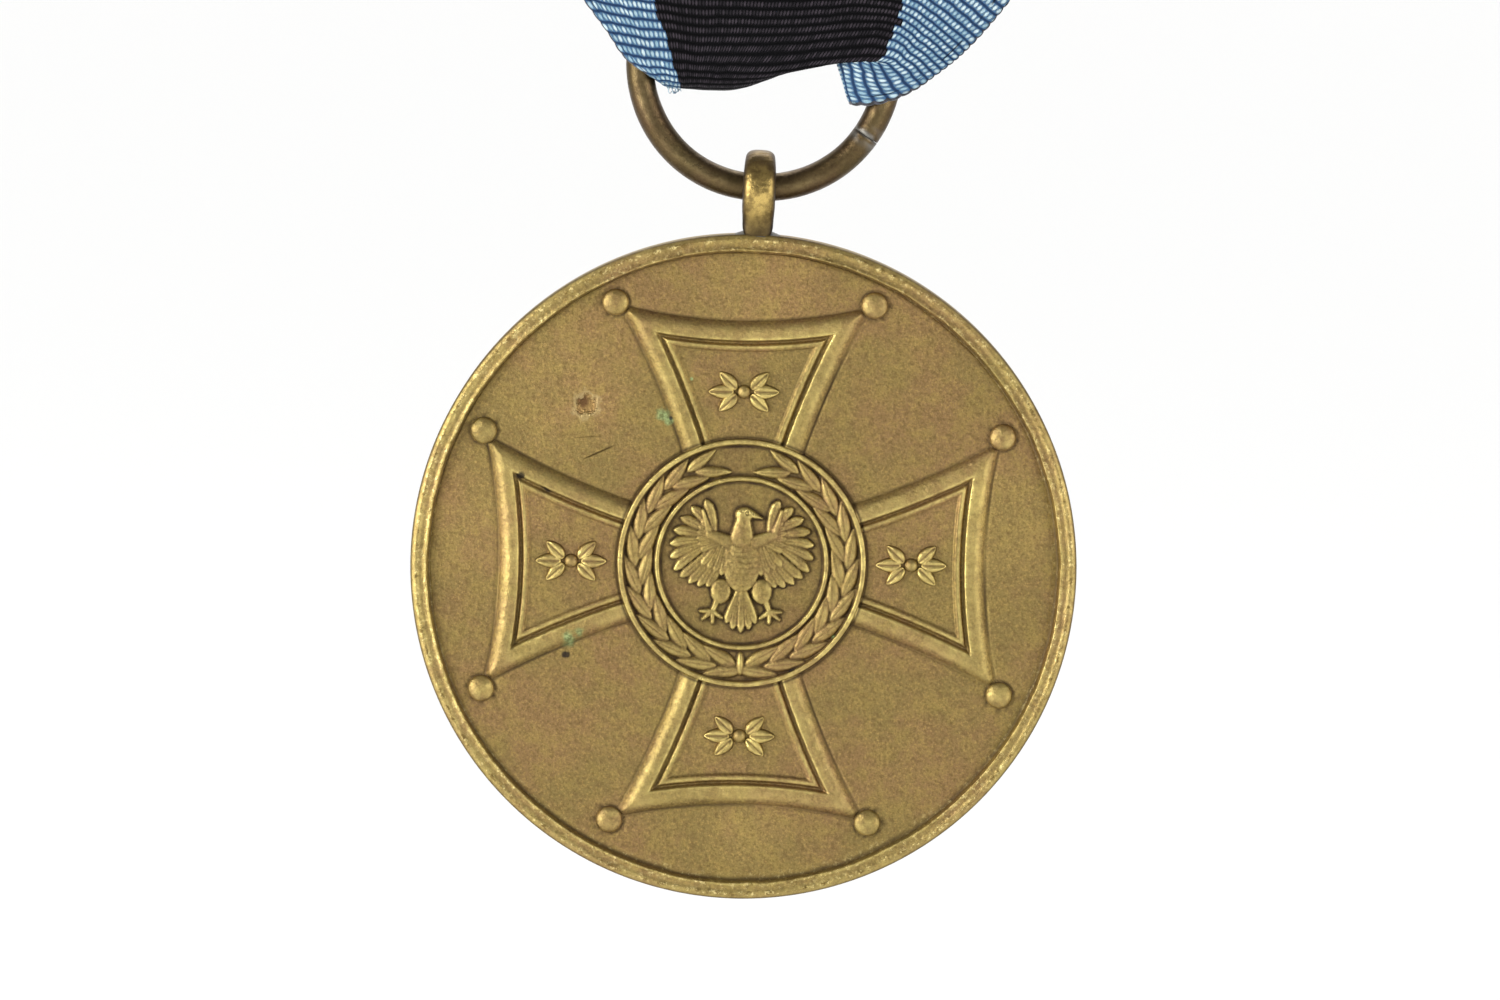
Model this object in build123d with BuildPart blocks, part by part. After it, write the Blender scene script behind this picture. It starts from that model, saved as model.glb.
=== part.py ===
"""Bronze medal on a ribbon with a pin brooch, as separate named parts.

Millimetres. The medal hangs upright: +Z up, +X to the viewer's right, the front faces -Y.
The origin is on the brooch pin's axis, in the middle of its shaft.
"""

from build123d import *
from math import cos, radians, sin
import os

os.makedirs("parts", exist_ok=True)

# medal disc
DISC_R = 16.5
DISC_T = 2.5  # over the rims
FIELD_T = 1.6
RIM_W = 0.85
RELIEF_DX, RELIEF_DZ, RELIEF_TURN = -0.1, 0.2, 1.6  # the die was struck a little off centre
ARM_ROOT_W, ARM_ROOT_R = 2.95, 5.5
ARM_TIP_X, ARM_TIP_Z, ARM_MID_Z = 6.2, 12.75, 12.0
BALL_X, BALL_Z, BALL_R = 6.41, 12.85, 0.68
RING_A, RING_B = 5.87, 6.19  # raised ring round the wreath
RING_C, RING_D = 4.05, 4.35  # raised ring round the emblem
RELIEF_H = 0.3
BORDER_W, FRAME_IN, FRAME_W = 0.95, 1.25, 0.3  # arms' raised border, and the fine line inside it

# hanging loop, solder and ring
LOOP_W = 1.62
LOOP_R, LOOP_HOLE_R = 1.88, 0.87
LOOP_UP = 2.28  # hole centre above the disc's edge
WIRE_R, RING_R = 0.69, 6.15
WIRE_GAP = 0.18  # wire to the hole's wall, on the loop's middle
SEAM_ANGLE, SEAM_GAP = -33.0, 0.8  # butt joint of the ring, in degrees

# ribbon
RIB_W, RIB_T, RIB_GAP = 33.0, 0.45, 1.9
FOLD_DROP = 1.1  # bottom fold below the ring's centre
TOP_UP = 6.5  # top fold above the pin
RING_DOWN = 40.5  # ring's centre below the pin

# brooch
PLATE_L, PLATE_H, PLATE_T = 31.0, 6.0, 0.8
PIN_UP = 2.2  # pin axis behind the plate
PIN_R, PIN_TIP_R = 0.42, 0.07
HINGE_X, SHAFT_X0, TAPER_X, TIP_X = -11.5, -9.6, 8.0, 13.4
EYE_R, EYE_H, RIVET_R, RIVET_CLEAR = 1.0, 2.2, 0.45, 0.05
EAR_T, EAR_R = 0.35, 1.2
CATCH_X, CATCH_L, CATCH_IN, CATCH_T = 11.2, 2.0, 0.36, 0.34
THREAD_R = 0.14

# heights and depths that follow from them
PLATE_BACK = -PIN_UP
PLATE_FRONT = PLATE_BACK - PLATE_T
RIB_OUT = RIB_GAP / 2 + RIB_T
RIB_Y = PLATE_FRONT - 0.03 - RIB_OUT  # plane of the ribbon's middle, the ring and the disc
RING_Z = -RING_DOWN
HOLE_Z = RING_Z - RING_R - (LOOP_HOLE_R - WIRE_R - WIRE_GAP)
DISC_Z = HOLE_Z - LOOP_UP - DISC_R

front = Plane((0, RIB_Y, 0), x_dir=(1, 0, 0), z_dir=(0, -1, 0))  # x right, y up, towards the viewer


def face_plane(depth, dx=0.0, dz=0.0, turn=0.0, back=False):
    """A plane on the disc's front or back at this distance from its middle."""
    side = 1 if back else -1
    a = radians(turn)
    x_dir = (-cos(a), 0, sin(a)) if back else (cos(a), 0, sin(a))
    return Plane((dx, RIB_Y + side * depth, DISC_Z + dz), x_dir=x_dir, z_dir=(0, side, 0))


def leaf_row(mid, count, first, step, tilt, size):
    """Leaf spots on both branches of a wreath: x, y and direction of each."""
    spots = []
    for side in (1, -1):
        for i in range(count):
            around = first + i * step
            for out in (1, -1):
                r = mid + out * size * 0.46
                a = radians(-90 + side * around)
                lean = -90 + side * (around + 90 - out * tilt)
                spots.append((r * cos(a), r * sin(a), lean))
    return spots


# ---- disc: rims, field, cross, balls, medallion
base = FIELD_T / 2 - 0.2
up = face_plane(base, RELIEF_DX, RELIEF_DZ, RELIEF_TURN)
with BuildPart() as medal_disc:
    with BuildSketch(face_plane(-DISC_T / 2)):
        Circle(DISC_R)
    extrude(amount=DISC_T)
    fillet(medal_disc.edges().filter_by(GeomType.CIRCLE), 0.3)
    for back in (False, True):
        with BuildSketch(face_plane(FIELD_T / 2, back=back)):
            Circle(DISC_R - RIM_W)
        extrude(amount=2, mode=Mode.SUBTRACT)
    with BuildSketch(up) as border:
        with PolarLocations(0, 4):
            with BuildLine():
                a = Line((-ARM_ROOT_W, ARM_ROOT_R), (ARM_ROOT_W, ARM_ROOT_R))
                b = ThreePointArc(a @ 1, (4.42, 9.2), (ARM_TIP_X, ARM_TIP_Z))
                c = ThreePointArc(b @ 1, (0, ARM_MID_Z), (-ARM_TIP_X, ARM_TIP_Z))
                ThreePointArc(c @ 1, (-4.42, 9.2), a @ 0)
            make_face()
    extrude(amount=0.2 + RELIEF_H)
    for depth, mode, cut_from, cut_to in (
        (BORDER_W, Mode.SUBTRACT, 0.1, 0.6),
        (FRAME_IN, Mode.ADD, 0.04, 0.24),
        (FRAME_IN + FRAME_W, Mode.SUBTRACT, 0.1, 0.6),
    ):
        with BuildSketch(up.offset(0.2 + cut_from)):
            with PolarLocations(0, 4):
                with BuildLine():
                    root, side_x, tip_x = ARM_ROOT_W - 1.05 * depth, 4.42 - 1.1 * depth, 6.0 - 1.6 * depth
                    tip_z = ARM_TIP_Z - 0.3 - depth
                    a = Line((-root, ARM_ROOT_R), (root, ARM_ROOT_R))
                    b = ThreePointArc(a @ 1, (side_x, 9.0), (tip_x, tip_z))
                    c = ThreePointArc(b @ 1, (0, ARM_MID_Z - depth), (-tip_x, tip_z))
                    ThreePointArc(c @ 1, (-side_x, 9.0), a @ 0)
                make_face()
        extrude(amount=cut_to - cut_from, mode=mode)
    # a bead and two leaves on each arm
    with BuildSketch(up):
        for k in range(4):
            x, y = 8.45 * sin(radians(90 * k)), 8.45 * cos(radians(90 * k))
            with Locations((x, y)):
                Circle(0.36)
            for s in (1, -1):
                with Locations(Location((x + s * 1.15, y, 0), (0, 0, s * 12))):
                    Ellipse(0.72, 0.3)
    extrude(amount=0.2 + 0.26)
    # medallion
    with BuildSketch(up):
        Circle(RING_B)
    extrude(amount=0.2 + RELIEF_H + 0.06)
    with BuildSketch(up.offset(0.28)):
        Circle(RING_A)
        Circle(RING_D, mode=Mode.SUBTRACT)
        Circle(RING_C)
    extrude(amount=0.6, mode=Mode.SUBTRACT)
    with BuildSketch(up):
        for x, y, lean in leaf_row(5.1, 11, 7, 15.4, 24, 0.78):
            with Locations(Location((x, y, 0), (0, 0, lean))):
                Ellipse(0.62, 0.21)
        with Locations((0, -5.1)):
            Rectangle(0.5, 1.0)
    extrude(amount=0.2 + 0.26)
    # bird with spread wings
    with BuildSketch(up):
        with Locations((0, 0.1)):
            Ellipse(0.95, 1.6)
        with Locations((0.1, 1.95)):
            Ellipse(0.5, 0.8)
        with Locations((0.15, 2.55)):
            Ellipse(0.62, 0.42)
        with BuildLine():
            Polyline((0.5, 2.8), (1.15, 2.45), (0.5, 2.2), close=True)
        make_face()
        for s in (1, -1):
            for i in range(8):
                turn = 78 - 15 * i
                a = radians(turn)
                reach = 1.75 - 0.05 * abs(i - 2)
                with Locations(Location((s * (1.15 + 0.62 * reach * cos(a)), 0.55 + 0.72 * reach * sin(a), 0),
                                        (0, 0, turn if s > 0 else 180 - turn))):
                    Ellipse(1.15, 0.26)
            with BuildLine():
                Polyline((s * 0.5, 1.3), (s * 1.7, 1.9), (s * 1.9, -0.3), (s * 0.5, -0.9), close=True)
            make_face()
        for i in range(-2, 3):
            with Locations(Location((0.36 * i, -2.1, 0), (0, 0, 90 + 10 * i))):
                Ellipse(1.1, 0.24)
    extrude(amount=0.2 + 0.28)
    for k in range(4):
        for s in (1, -1):
            a = radians(90 * k)
            x = s * BALL_X * cos(a) + BALL_Z * sin(a)
            y = -s * BALL_X * sin(a) + BALL_Z * cos(a)
            with Locations(up.offset(0.0) * Location((x, y, -0.08))):
                Sphere(BALL_R)
    # back: a laurel wreath round a plain middle
    with BuildSketch(face_plane(base, back=True)):
        for x, y, lean in leaf_row(12.6, 18, 6, 9.4, 24, 1.3):
            with Locations(Location((x, y, 0), (0, 0, lean))):
                Ellipse(1.1, 0.36)
        with Locations((0, -12.6)):
            Rectangle(1.2, 2.2)
    extrude(amount=0.2 + 0.26)
medal_disc.part.label = "medal_disc"

# ---- hanging loop, its hole along X
side = Plane((-LOOP_W / 2, RIB_Y, HOLE_Z), x_dir=(0, 1, 0), z_dir=(1, 0, 0))
with BuildPart() as suspension_loop:
    with BuildSketch(side):
        Circle(LOOP_R)
        with Locations((0, -(LOOP_UP + 0.4) / 2 - 0.3)):
            Rectangle(2.0, LOOP_UP + 0.4 - 0.6)
        Circle(LOOP_HOLE_R, mode=Mode.SUBTRACT)
    extrude(amount=LOOP_W)
    outer = suspension_loop.edges().filter_by(GeomType.CIRCLE).sort_by(SortBy.RADIUS)[-2:]
    fillet(outer, 0.3)
    with BuildSketch(face_plane(-3)):
        Circle(DISC_R)
    extrude(amount=6, mode=Mode.SUBTRACT)
suspension_loop.part.label = "suspension_loop"

with BuildPart() as loop_solder:
    with Locations((0, RIB_Y, DISC_Z + DISC_R)):
        Box(2.7, 2.36, 0.72)
    chamfer(loop_solder.faces().sort_by(Axis.Z)[-1].edges(), 0.25)
    with Locations((0, RIB_Y, DISC_Z + DISC_R)):
        Box(LOOP_W + 0.02, 2.02, 3, mode=Mode.SUBTRACT)
    with BuildSketch(face_plane(-3)):
        Circle(DISC_R)
    extrude(amount=6, mode=Mode.SUBTRACT)
loop_solder.part.label = "loop_solder"

# ---- split ring
t0 = radians(SEAM_ANGLE - SEAM_GAP / 2)
end = Plane(
    (RING_R * cos(t0), RIB_Y, RING_Z + RING_R * sin(t0)),
    x_dir=(cos(t0), 0, sin(t0)),
    z_dir=(-sin(t0), 0, cos(t0)),
)
with BuildPart() as suspension_ring:
    with BuildSketch(end):
        Circle(WIRE_R)
    revolve(axis=Axis((0, RIB_Y, RING_Z), (0, 1, 0)), revolution_arc=360 - SEAM_GAP)
suspension_ring.part.label = "suspension_ring"

# ---- ribbon: one closed band, narrowed to the ring at the bottom
mid_low, mid_top = RING_Z - FOLD_DROP + RIB_OUT, TOP_UP - RIB_OUT
with BuildPart() as ribbon:
    with BuildSketch(Plane((-RIB_W / 2 - 1, RIB_Y, 0), x_dir=(0, 1, 0), z_dir=(1, 0, 0))):
        for r, mode in ((RIB_OUT, Mode.ADD), (RIB_GAP / 2, Mode.SUBTRACT)):
            with Locations((0, (mid_low + mid_top) / 2)):
                SlotCenterToCenter(mid_top - mid_low, 2 * r, rotation=90, mode=mode)
    extrude(amount=RIB_W + 2)
    h = RIB_W / 2
    with BuildSketch(front.offset(-4)):
        with BuildLine():
            a = Polyline((-4.5, RING_Z - 2), (-4.5, RING_Z - 0.3), (-5.0, RING_Z + 0.4), (-6.8, RING_Z + 0.6))
            b = Spline(a @ 1, (-9.0, RING_Z + 3.4), (-12.9, RING_Z + 8.2), (-15.6, RING_Z + 12.6),
                       (-h, RING_Z + 17), tangents=((-0.55, 0.84), (0, 1)))
            c = Polyline(b @ 1, (-h, TOP_UP + 1), (h, TOP_UP + 1), (h, RING_Z + 14))
            d = Spline(c @ 1, (15.5, RING_Z + 8.6), (12.05, RING_Z + 3.6), (8.8, RING_Z + 0.5),
                       tangents=((0, -1), (-0.72, -0.69)))
            Polyline(d @ 1, (5.0, RING_Z + 0.4), (3.6, RING_Z - 0.3), (3.6, RING_Z - 2), a @ 0)
        make_face()
    extrude(amount=8, mode=Mode.INTERSECT)
    # the two edges that hang in front of the ring
    with BuildSketch(front.offset(RIB_GAP / 2)):
        with BuildLine():
            Polyline((3.9, RING_Z + 0.9), (4.15, RING_Z - 1.5), (5.3, RING_Z - 1.75), (6.9, RING_Z - 1.25),
                     (7.9, RING_Z - 0.4), (9.0, RING_Z + 0.9), close=True)
        make_face()
        with BuildLine():
            Polyline((-6.8, RING_Z + 0.9), (-6.8, RING_Z + 0.45), (-5.5, RING_Z - 0.45), (-4.8, RING_Z - 1.1),
                     (-4.2, RING_Z - 0.6), (-4.0, RING_Z + 0.9), close=True)
        make_face()
    extrude(amount=RIB_T)
    # the ribbon's end, lapped over its back layer under the plate
    with BuildSketch(Plane((0, RIB_Y + RIB_OUT, -8), x_dir=(1, 0, 0), z_dir=(0, -1, 0)).offset(0.05)):
        Rectangle(RIB_W, 7)
    extrude(amount=-RIB_T - 0.05)
ribbon.part.label = "ribbon"

with BuildPart() as stiffener_bar:
    bar_top = TOP_UP - RIB_OUT
    with BuildSketch(Plane((-RIB_W / 2 + 0.8, RIB_Y, 0), x_dir=(0, 1, 0), z_dir=(1, 0, 0))):
        with Locations((0, bar_top - 3.5)):
            SlotCenterToCenter(7.0, 1.5, rotation=90)
    extrude(amount=RIB_W - 1.6)
stiffener_bar.part.label = "stiffener_bar"

# ---- brooch plate with six thread holes
HOLES = [(x, s * 2.0) for x in (-13.9, 0.0, 13.9) for s in (1, -1)]
plate_plane = Plane((0, PLATE_FRONT, 0), x_dir=(-1, 0, 0), z_dir=(0, 1, 0))
with BuildPart() as brooch_plate:
    with BuildSketch(plate_plane):
        RectangleRounded(PLATE_L, PLATE_H, 1.2)
    extrude(amount=PLATE_T)
    fillet(brooch_plate.faces().sort_by(Axis.Y)[-1].edges(), 0.2)
    with BuildSketch(plate_plane):
        with Locations([(-x, z) for x, z in HOLES]):
            Circle(0.52)
    extrude(amount=PLATE_T, mode=Mode.SUBTRACT)
brooch_plate.part.label = "brooch_plate"

# ---- hinge ears, rivet, pin and catch
with BuildPart() as pin_bracket:
    with BuildSketch(Plane((HINGE_X, PLATE_BACK, 0), x_dir=(-1, 0, 0), z_dir=(0, 1, 0))):
        Rectangle(2 * EAR_R, EYE_H + 0.1 + 2 * EAR_T)
    extrude(amount=EAR_T)
    for s in (1, -1):
        z0 = s * (EYE_H / 2 + 0.05)
        with BuildSketch(Plane((HINGE_X, 0, z0), x_dir=(1, 0, 0), z_dir=(0, 0, 1))):
            Circle(EAR_R)
            with Locations((0, PLATE_BACK / 2)):
                Rectangle(2 * EAR_R, -PLATE_BACK)
            Circle(RIVET_R, mode=Mode.SUBTRACT)
        extrude(amount=s * EAR_T)
pin_bracket.part.label = "pin_bracket"

ear_out = EYE_H / 2 + 0.05 + EAR_T
with BuildPart() as hinge_rivet:
    with BuildSketch(Plane((HINGE_X, 0, -ear_out), x_dir=(1, 0, 0), z_dir=(0, 0, 1))):
        Circle(RIVET_R)
    extrude(amount=2 * ear_out)
    for s in (1, -1):
        with BuildSketch(Plane((HINGE_X, 0, s * ear_out), x_dir=(1, 0, 0), z_dir=(0, 0, s))):
            Circle(0.78)
        extrude(amount=0.36, taper=28)
hinge_rivet.part.label = "hinge_rivet"

with BuildPart() as pin_stem:
    with BuildSketch(Plane((HINGE_X, 0, -EYE_H / 2), x_dir=(1, 0, 0), z_dir=(0, 0, 1))):
        Circle(EYE_R)
        Circle(RIVET_R + RIVET_CLEAR, mode=Mode.SUBTRACT)
    extrude(amount=EYE_H)
    with BuildSketch(Plane.XY):
        with BuildLine():
            Polyline((HINGE_X + 0.8, 0), (HINGE_X + 0.8, 0.62), (SHAFT_X0 - 0.2, 0.62), (SHAFT_X0, PIN_R),
                     (TAPER_X, PIN_R), (TIP_X, PIN_TIP_R), (TIP_X, 0), close=True)
        make_face()
    revolve(axis=Axis.X)
pin_stem.part.label = "pin_stem"

with BuildPart() as pin_catch:
    o, n = CATCH_IN + CATCH_T, CATCH_IN
    with BuildSketch(Plane((CATCH_X - CATCH_L / 2, 0, 0), x_dir=(0, 0, -1), z_dir=(1, 0, 0))):
        Circle(o)
        with Locations((0, 0.35)):
            Rectangle(2 * o, 0.7)
        with Locations((0, -0.35)):
            Rectangle(2 * o, 0.7)
        Circle(n, mode=Mode.SUBTRACT)
        with Locations((0, 1.0)):
            Rectangle(2 * n, 2.0, mode=Mode.SUBTRACT)
        with Locations((0, -1.45)):
            Rectangle(0.9, 1.5)
    extrude(amount=CATCH_L)
pin_catch.part.label = "pin_catch"

# ---- thread
with BuildPart() as hem_stitches:
    for i in range(11):
        x = -13.5 + 2.7 * i
        for z in (-5.6, -10.4):
            with Locations(Location((x, RIB_Y + RIB_OUT + RIB_T + THREAD_R + 0.01, z), (0, 90, 0))):
                Cylinder(THREAD_R, 1.5)
hem_stitches.part.label = "hem_stitches"

with BuildPart() as plate_stitches:
    low, high = PLATE_FRONT - 0.01, PLATE_BACK + THREAD_R + 0.02
    for x, z in HOLES:
        s = 1 if z > 0 else -1
        for dx in (-0.17, 0.17):
            with BuildLine() as path:
                FilletPolyline((x + dx, low, z), (x + dx, high, z), (x + dx, high, s * (PLATE_H / 2 + 0.22)),
                               (x + dx, low, s * (PLATE_H / 2 + 0.22)), radius=0.18)
            with BuildSketch(Plane((x + dx, low, z), x_dir=(1, 0, 0), z_dir=(0, 1, 0))):
                Circle(THREAD_R)
            sweep(path=path.line)
plate_stitches.part.label = "plate_stitches"

for p in (medal_disc, suspension_loop, loop_solder, suspension_ring, ribbon, stiffener_bar, brooch_plate,
          pin_bracket, hinge_rivet, pin_stem, pin_catch, hem_stitches, plate_stitches):
    export_step(p.part, f"parts/{p.part.label}.step")
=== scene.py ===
from math import atan2, cos, hypot, pi, radians, sin, sqrt

import bmesh
import bpy
import numpy as np
from mathutils import Matrix, Vector


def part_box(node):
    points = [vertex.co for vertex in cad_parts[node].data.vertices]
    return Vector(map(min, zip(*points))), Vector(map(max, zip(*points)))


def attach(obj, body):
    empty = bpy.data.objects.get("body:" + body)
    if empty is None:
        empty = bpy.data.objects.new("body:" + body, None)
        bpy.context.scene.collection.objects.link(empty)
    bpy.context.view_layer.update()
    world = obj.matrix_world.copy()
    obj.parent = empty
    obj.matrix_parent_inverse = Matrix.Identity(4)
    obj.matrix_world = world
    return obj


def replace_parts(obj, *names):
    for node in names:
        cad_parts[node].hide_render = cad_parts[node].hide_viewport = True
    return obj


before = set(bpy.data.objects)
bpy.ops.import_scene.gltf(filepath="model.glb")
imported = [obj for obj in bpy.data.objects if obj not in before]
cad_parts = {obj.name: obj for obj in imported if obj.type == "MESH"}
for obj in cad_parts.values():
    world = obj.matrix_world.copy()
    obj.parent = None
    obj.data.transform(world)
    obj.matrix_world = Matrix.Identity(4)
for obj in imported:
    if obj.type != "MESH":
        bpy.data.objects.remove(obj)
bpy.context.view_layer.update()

MM = 0.001

# -------- places, in mm, from the CAD boxes


def box_mm(node):
    lo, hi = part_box(node)
    return np.array(lo) / MM, np.array(hi) / MM


d_lo, d_hi = box_mm("medal_disc")
r_lo, r_hi = box_mm("suspension_ring")
l_lo, l_hi = box_mm("suspension_loop")
DISC = (d_lo + d_hi) / 2
DISC_R = (d_hi[0] - d_lo[0]) / 2
HALF_T = (d_hi[1] - d_lo[1]) / 2
RING = (r_lo + r_hi) / 2
WIRE_R = (r_hi[1] - r_lo[1]) / 2
RING_R = (r_hi[2] - r_lo[2]) / 2 - WIRE_R
LOOP_HALF_W = (l_hi[0] - l_lo[0]) / 2
LOOP_R = (l_hi[1] - l_lo[1]) / 2
TOP_Z = box_mm("ribbon")[1][2]
PLANE_Y = RING[1]
FIELD = 0.8  # from the disc's middle plane to its field
# the relief is struck a little off the disc's centre and off upright
RELIEF_DX, RELIEF_DZ, RELIEF_TURN = -0.1, 0.2, radians(1.6)
TURN_C, TURN_S = cos(RELIEF_TURN), sin(RELIEF_TURN)
QUARTERS = ((1, 0), (0, 1), (-1, 0), (0, -1))  # cosine and sine of each quarter turn


def unit(x):
    """x kept within 0 and 1."""
    return np.clip(x, 0, 1)


def smooth(a, b, x):
    """0 up to a, 1 from b, eased between."""
    t = unit((x - a) / (b - a))
    return t * t * (3 - 2 * t)


def peak(x, mid, width):
    """1 at mid, falling away on both sides."""
    return np.exp(-(((x - mid) / width) ** 2))


def mound(x, mid, half):
    """1 at mid, 0 from half away."""
    return unit(1 - ((x - mid) / half) ** 2)


def oval(u, v, cu, cv, ru, rv):
    """1 in the middle of an ellipse, 0 from its edge."""
    return unit(1 - ((u - cu) / ru) ** 2 - ((v - cv) / rv) ** 2)


def circle(n):
    """n angles evenly round a circle."""
    return np.linspace(0, 2 * pi, n, endpoint=False)


def noise(x, y, cell, seed):
    """Smooth value noise from -1 to 1."""
    g = np.random.default_rng(seed).uniform(-1, 1, (256, 256))
    fx, fy = x / cell + 1000.37, y / cell + 1000.71
    ix, iy = np.floor(fx).astype(int), np.floor(fy).astype(int)
    tx, ty = fx - ix, fy - iy
    tx, ty = tx * tx * (3 - 2 * tx), ty * ty * (3 - 2 * ty)
    a, b = g[iy % 256, ix % 256], g[iy % 256, (ix + 1) % 256]
    c, d = g[(iy + 1) % 256, ix % 256], g[(iy + 1) % 256, (ix + 1) % 256]
    return (a * (1 - tx) + b * tx) * (1 - ty) + (c * (1 - tx) + d * tx) * ty


def to_world(u, v, h):
    """Relief coordinates (right, up, out of the field) to the row frame, mm."""
    x = DISC[0] + RELIEF_DX + u * TURN_C - v * TURN_S
    z = DISC[2] + RELIEF_DZ + u * TURN_S + v * TURN_C
    return np.stack([x, PLANE_Y - FIELD - h + 0 * x, z], -1)


def to_back(u, v, h):
    """The same coordinates seen from behind, out of the back's field."""
    return to_world(-u, v, -2 * FIELD - h)


# -------- mesh helpers


def add_piece(name, verts, faces, body, slot, look, attributes=None):
    """A piece of smooth mesh, in mm, with a float for each vertex under each attribute's name."""
    mesh = bpy.data.meshes.new(name)
    mesh.from_pydata((np.asarray(verts, float) * MM).tolist(), [], [list(map(int, f)) for f in faces])
    mesh.validate()
    for key, values in (attributes or {}).items():
        layer = mesh.attributes.new(key, "FLOAT", "POINT")
        layer.data.foreach_set("value", np.asarray(values, np.float32))
    mesh.polygons.foreach_set("use_smooth", [True] * len(mesh.polygons))
    mesh.update()
    obj = bpy.data.objects.new(name, mesh)
    bpy.context.scene.collection.objects.link(obj)
    mesh.materials.append(look)
    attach(obj, body)
    return obj


def weld(obj, dist=1e-5):
    """Join vertices that meet, dist in mm, and turn all faces outwards."""
    bm = bmesh.new()
    bm.from_mesh(obj.data)
    bmesh.ops.remove_doubles(bm, verts=bm.verts, dist=dist * MM)
    bmesh.ops.dissolve_degenerate(bm, edges=bm.edges, dist=1e-9)
    bmesh.ops.recalc_face_normals(bm, faces=bm.faces)
    bm.to_mesh(obj.data)
    bm.free()
    return obj


def grid_faces(rows, cols, wrap=True, start=0, flip=False):
    """Quads of a rows x cols lattice of vertices, closed round the columns if wrap."""
    r = np.arange(rows - 1)[:, None]
    c = np.arange(cols if wrap else cols - 1)[None, :]
    n = (c + 1) % cols
    a, b = start + r * cols + c, start + r * cols + n
    d, e = start + (r + 1) * cols + n, start + (r + 1) * cols + c
    return np.stack([a, e, d, b] if flip else [a, b, d, e], -1).reshape(-1, 4).tolist()


def lattice_rim(rows, cols):
    """The outer vertices of a rows x cols lattice, in order round it."""
    there = list(range(cols)) + [r * cols + cols - 1 for r in range(1, rows)]
    there += [(rows - 1) * cols + c for c in range(cols - 2, -1, -1)]
    return there + [r * cols for r in range(rows - 2, 0, -1)]


def closed_rows(rows, flip=False):
    """Vertices and faces of a closed solid from rings of vertices."""
    n, seg = len(rows), len(rows[0])
    first, last = list(range(seg)), [(n - 1) * seg + i for i in range(seg)]
    ends = [first, last[::-1]] if flip else [first[::-1], last]
    return np.concatenate(rows), grid_faces(n, seg, flip=flip) + ends


def padded(values, n):
    """The values within 0 and 1, then n zeros."""
    return np.concatenate([unit(values).ravel(), np.zeros(n)])


def tube_rows(points, radii, seg, axis):
    """Rings of vertices round a path; axis is a direction, or one for each point, to the side of the path."""
    points = np.asarray(points, float)
    tangent = np.gradient(points, axis=0)
    tangent /= np.linalg.norm(tangent, axis=1)[:, None]
    side = np.cross(tangent, np.broadcast_to(axis, points.shape))
    side /= np.linalg.norm(side, axis=1)[:, None]
    up = np.cross(side, tangent)
    a = circle(seg)[:, None]
    return [p + r * (np.cos(a) * n + np.sin(a) * w) for p, r, n, w in zip(points, radii, side, up)]


def tube(points, radii, seg, axis):
    return closed_rows(tube_rows(points, radii, seg, axis))


def join(parts):
    """One array of vertices, one list of faces and one array of each other value from several parts'."""
    faces, n = [], 0
    for part in parts:
        faces += [[i + n for i in q] for q in part[1]]
        n += len(part[0])
    verts, *values = [np.concatenate(same) for same in zip(*(part[:1] + part[2:] for part in parts))]
    return verts, faces, *values


# -------- materials


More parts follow.
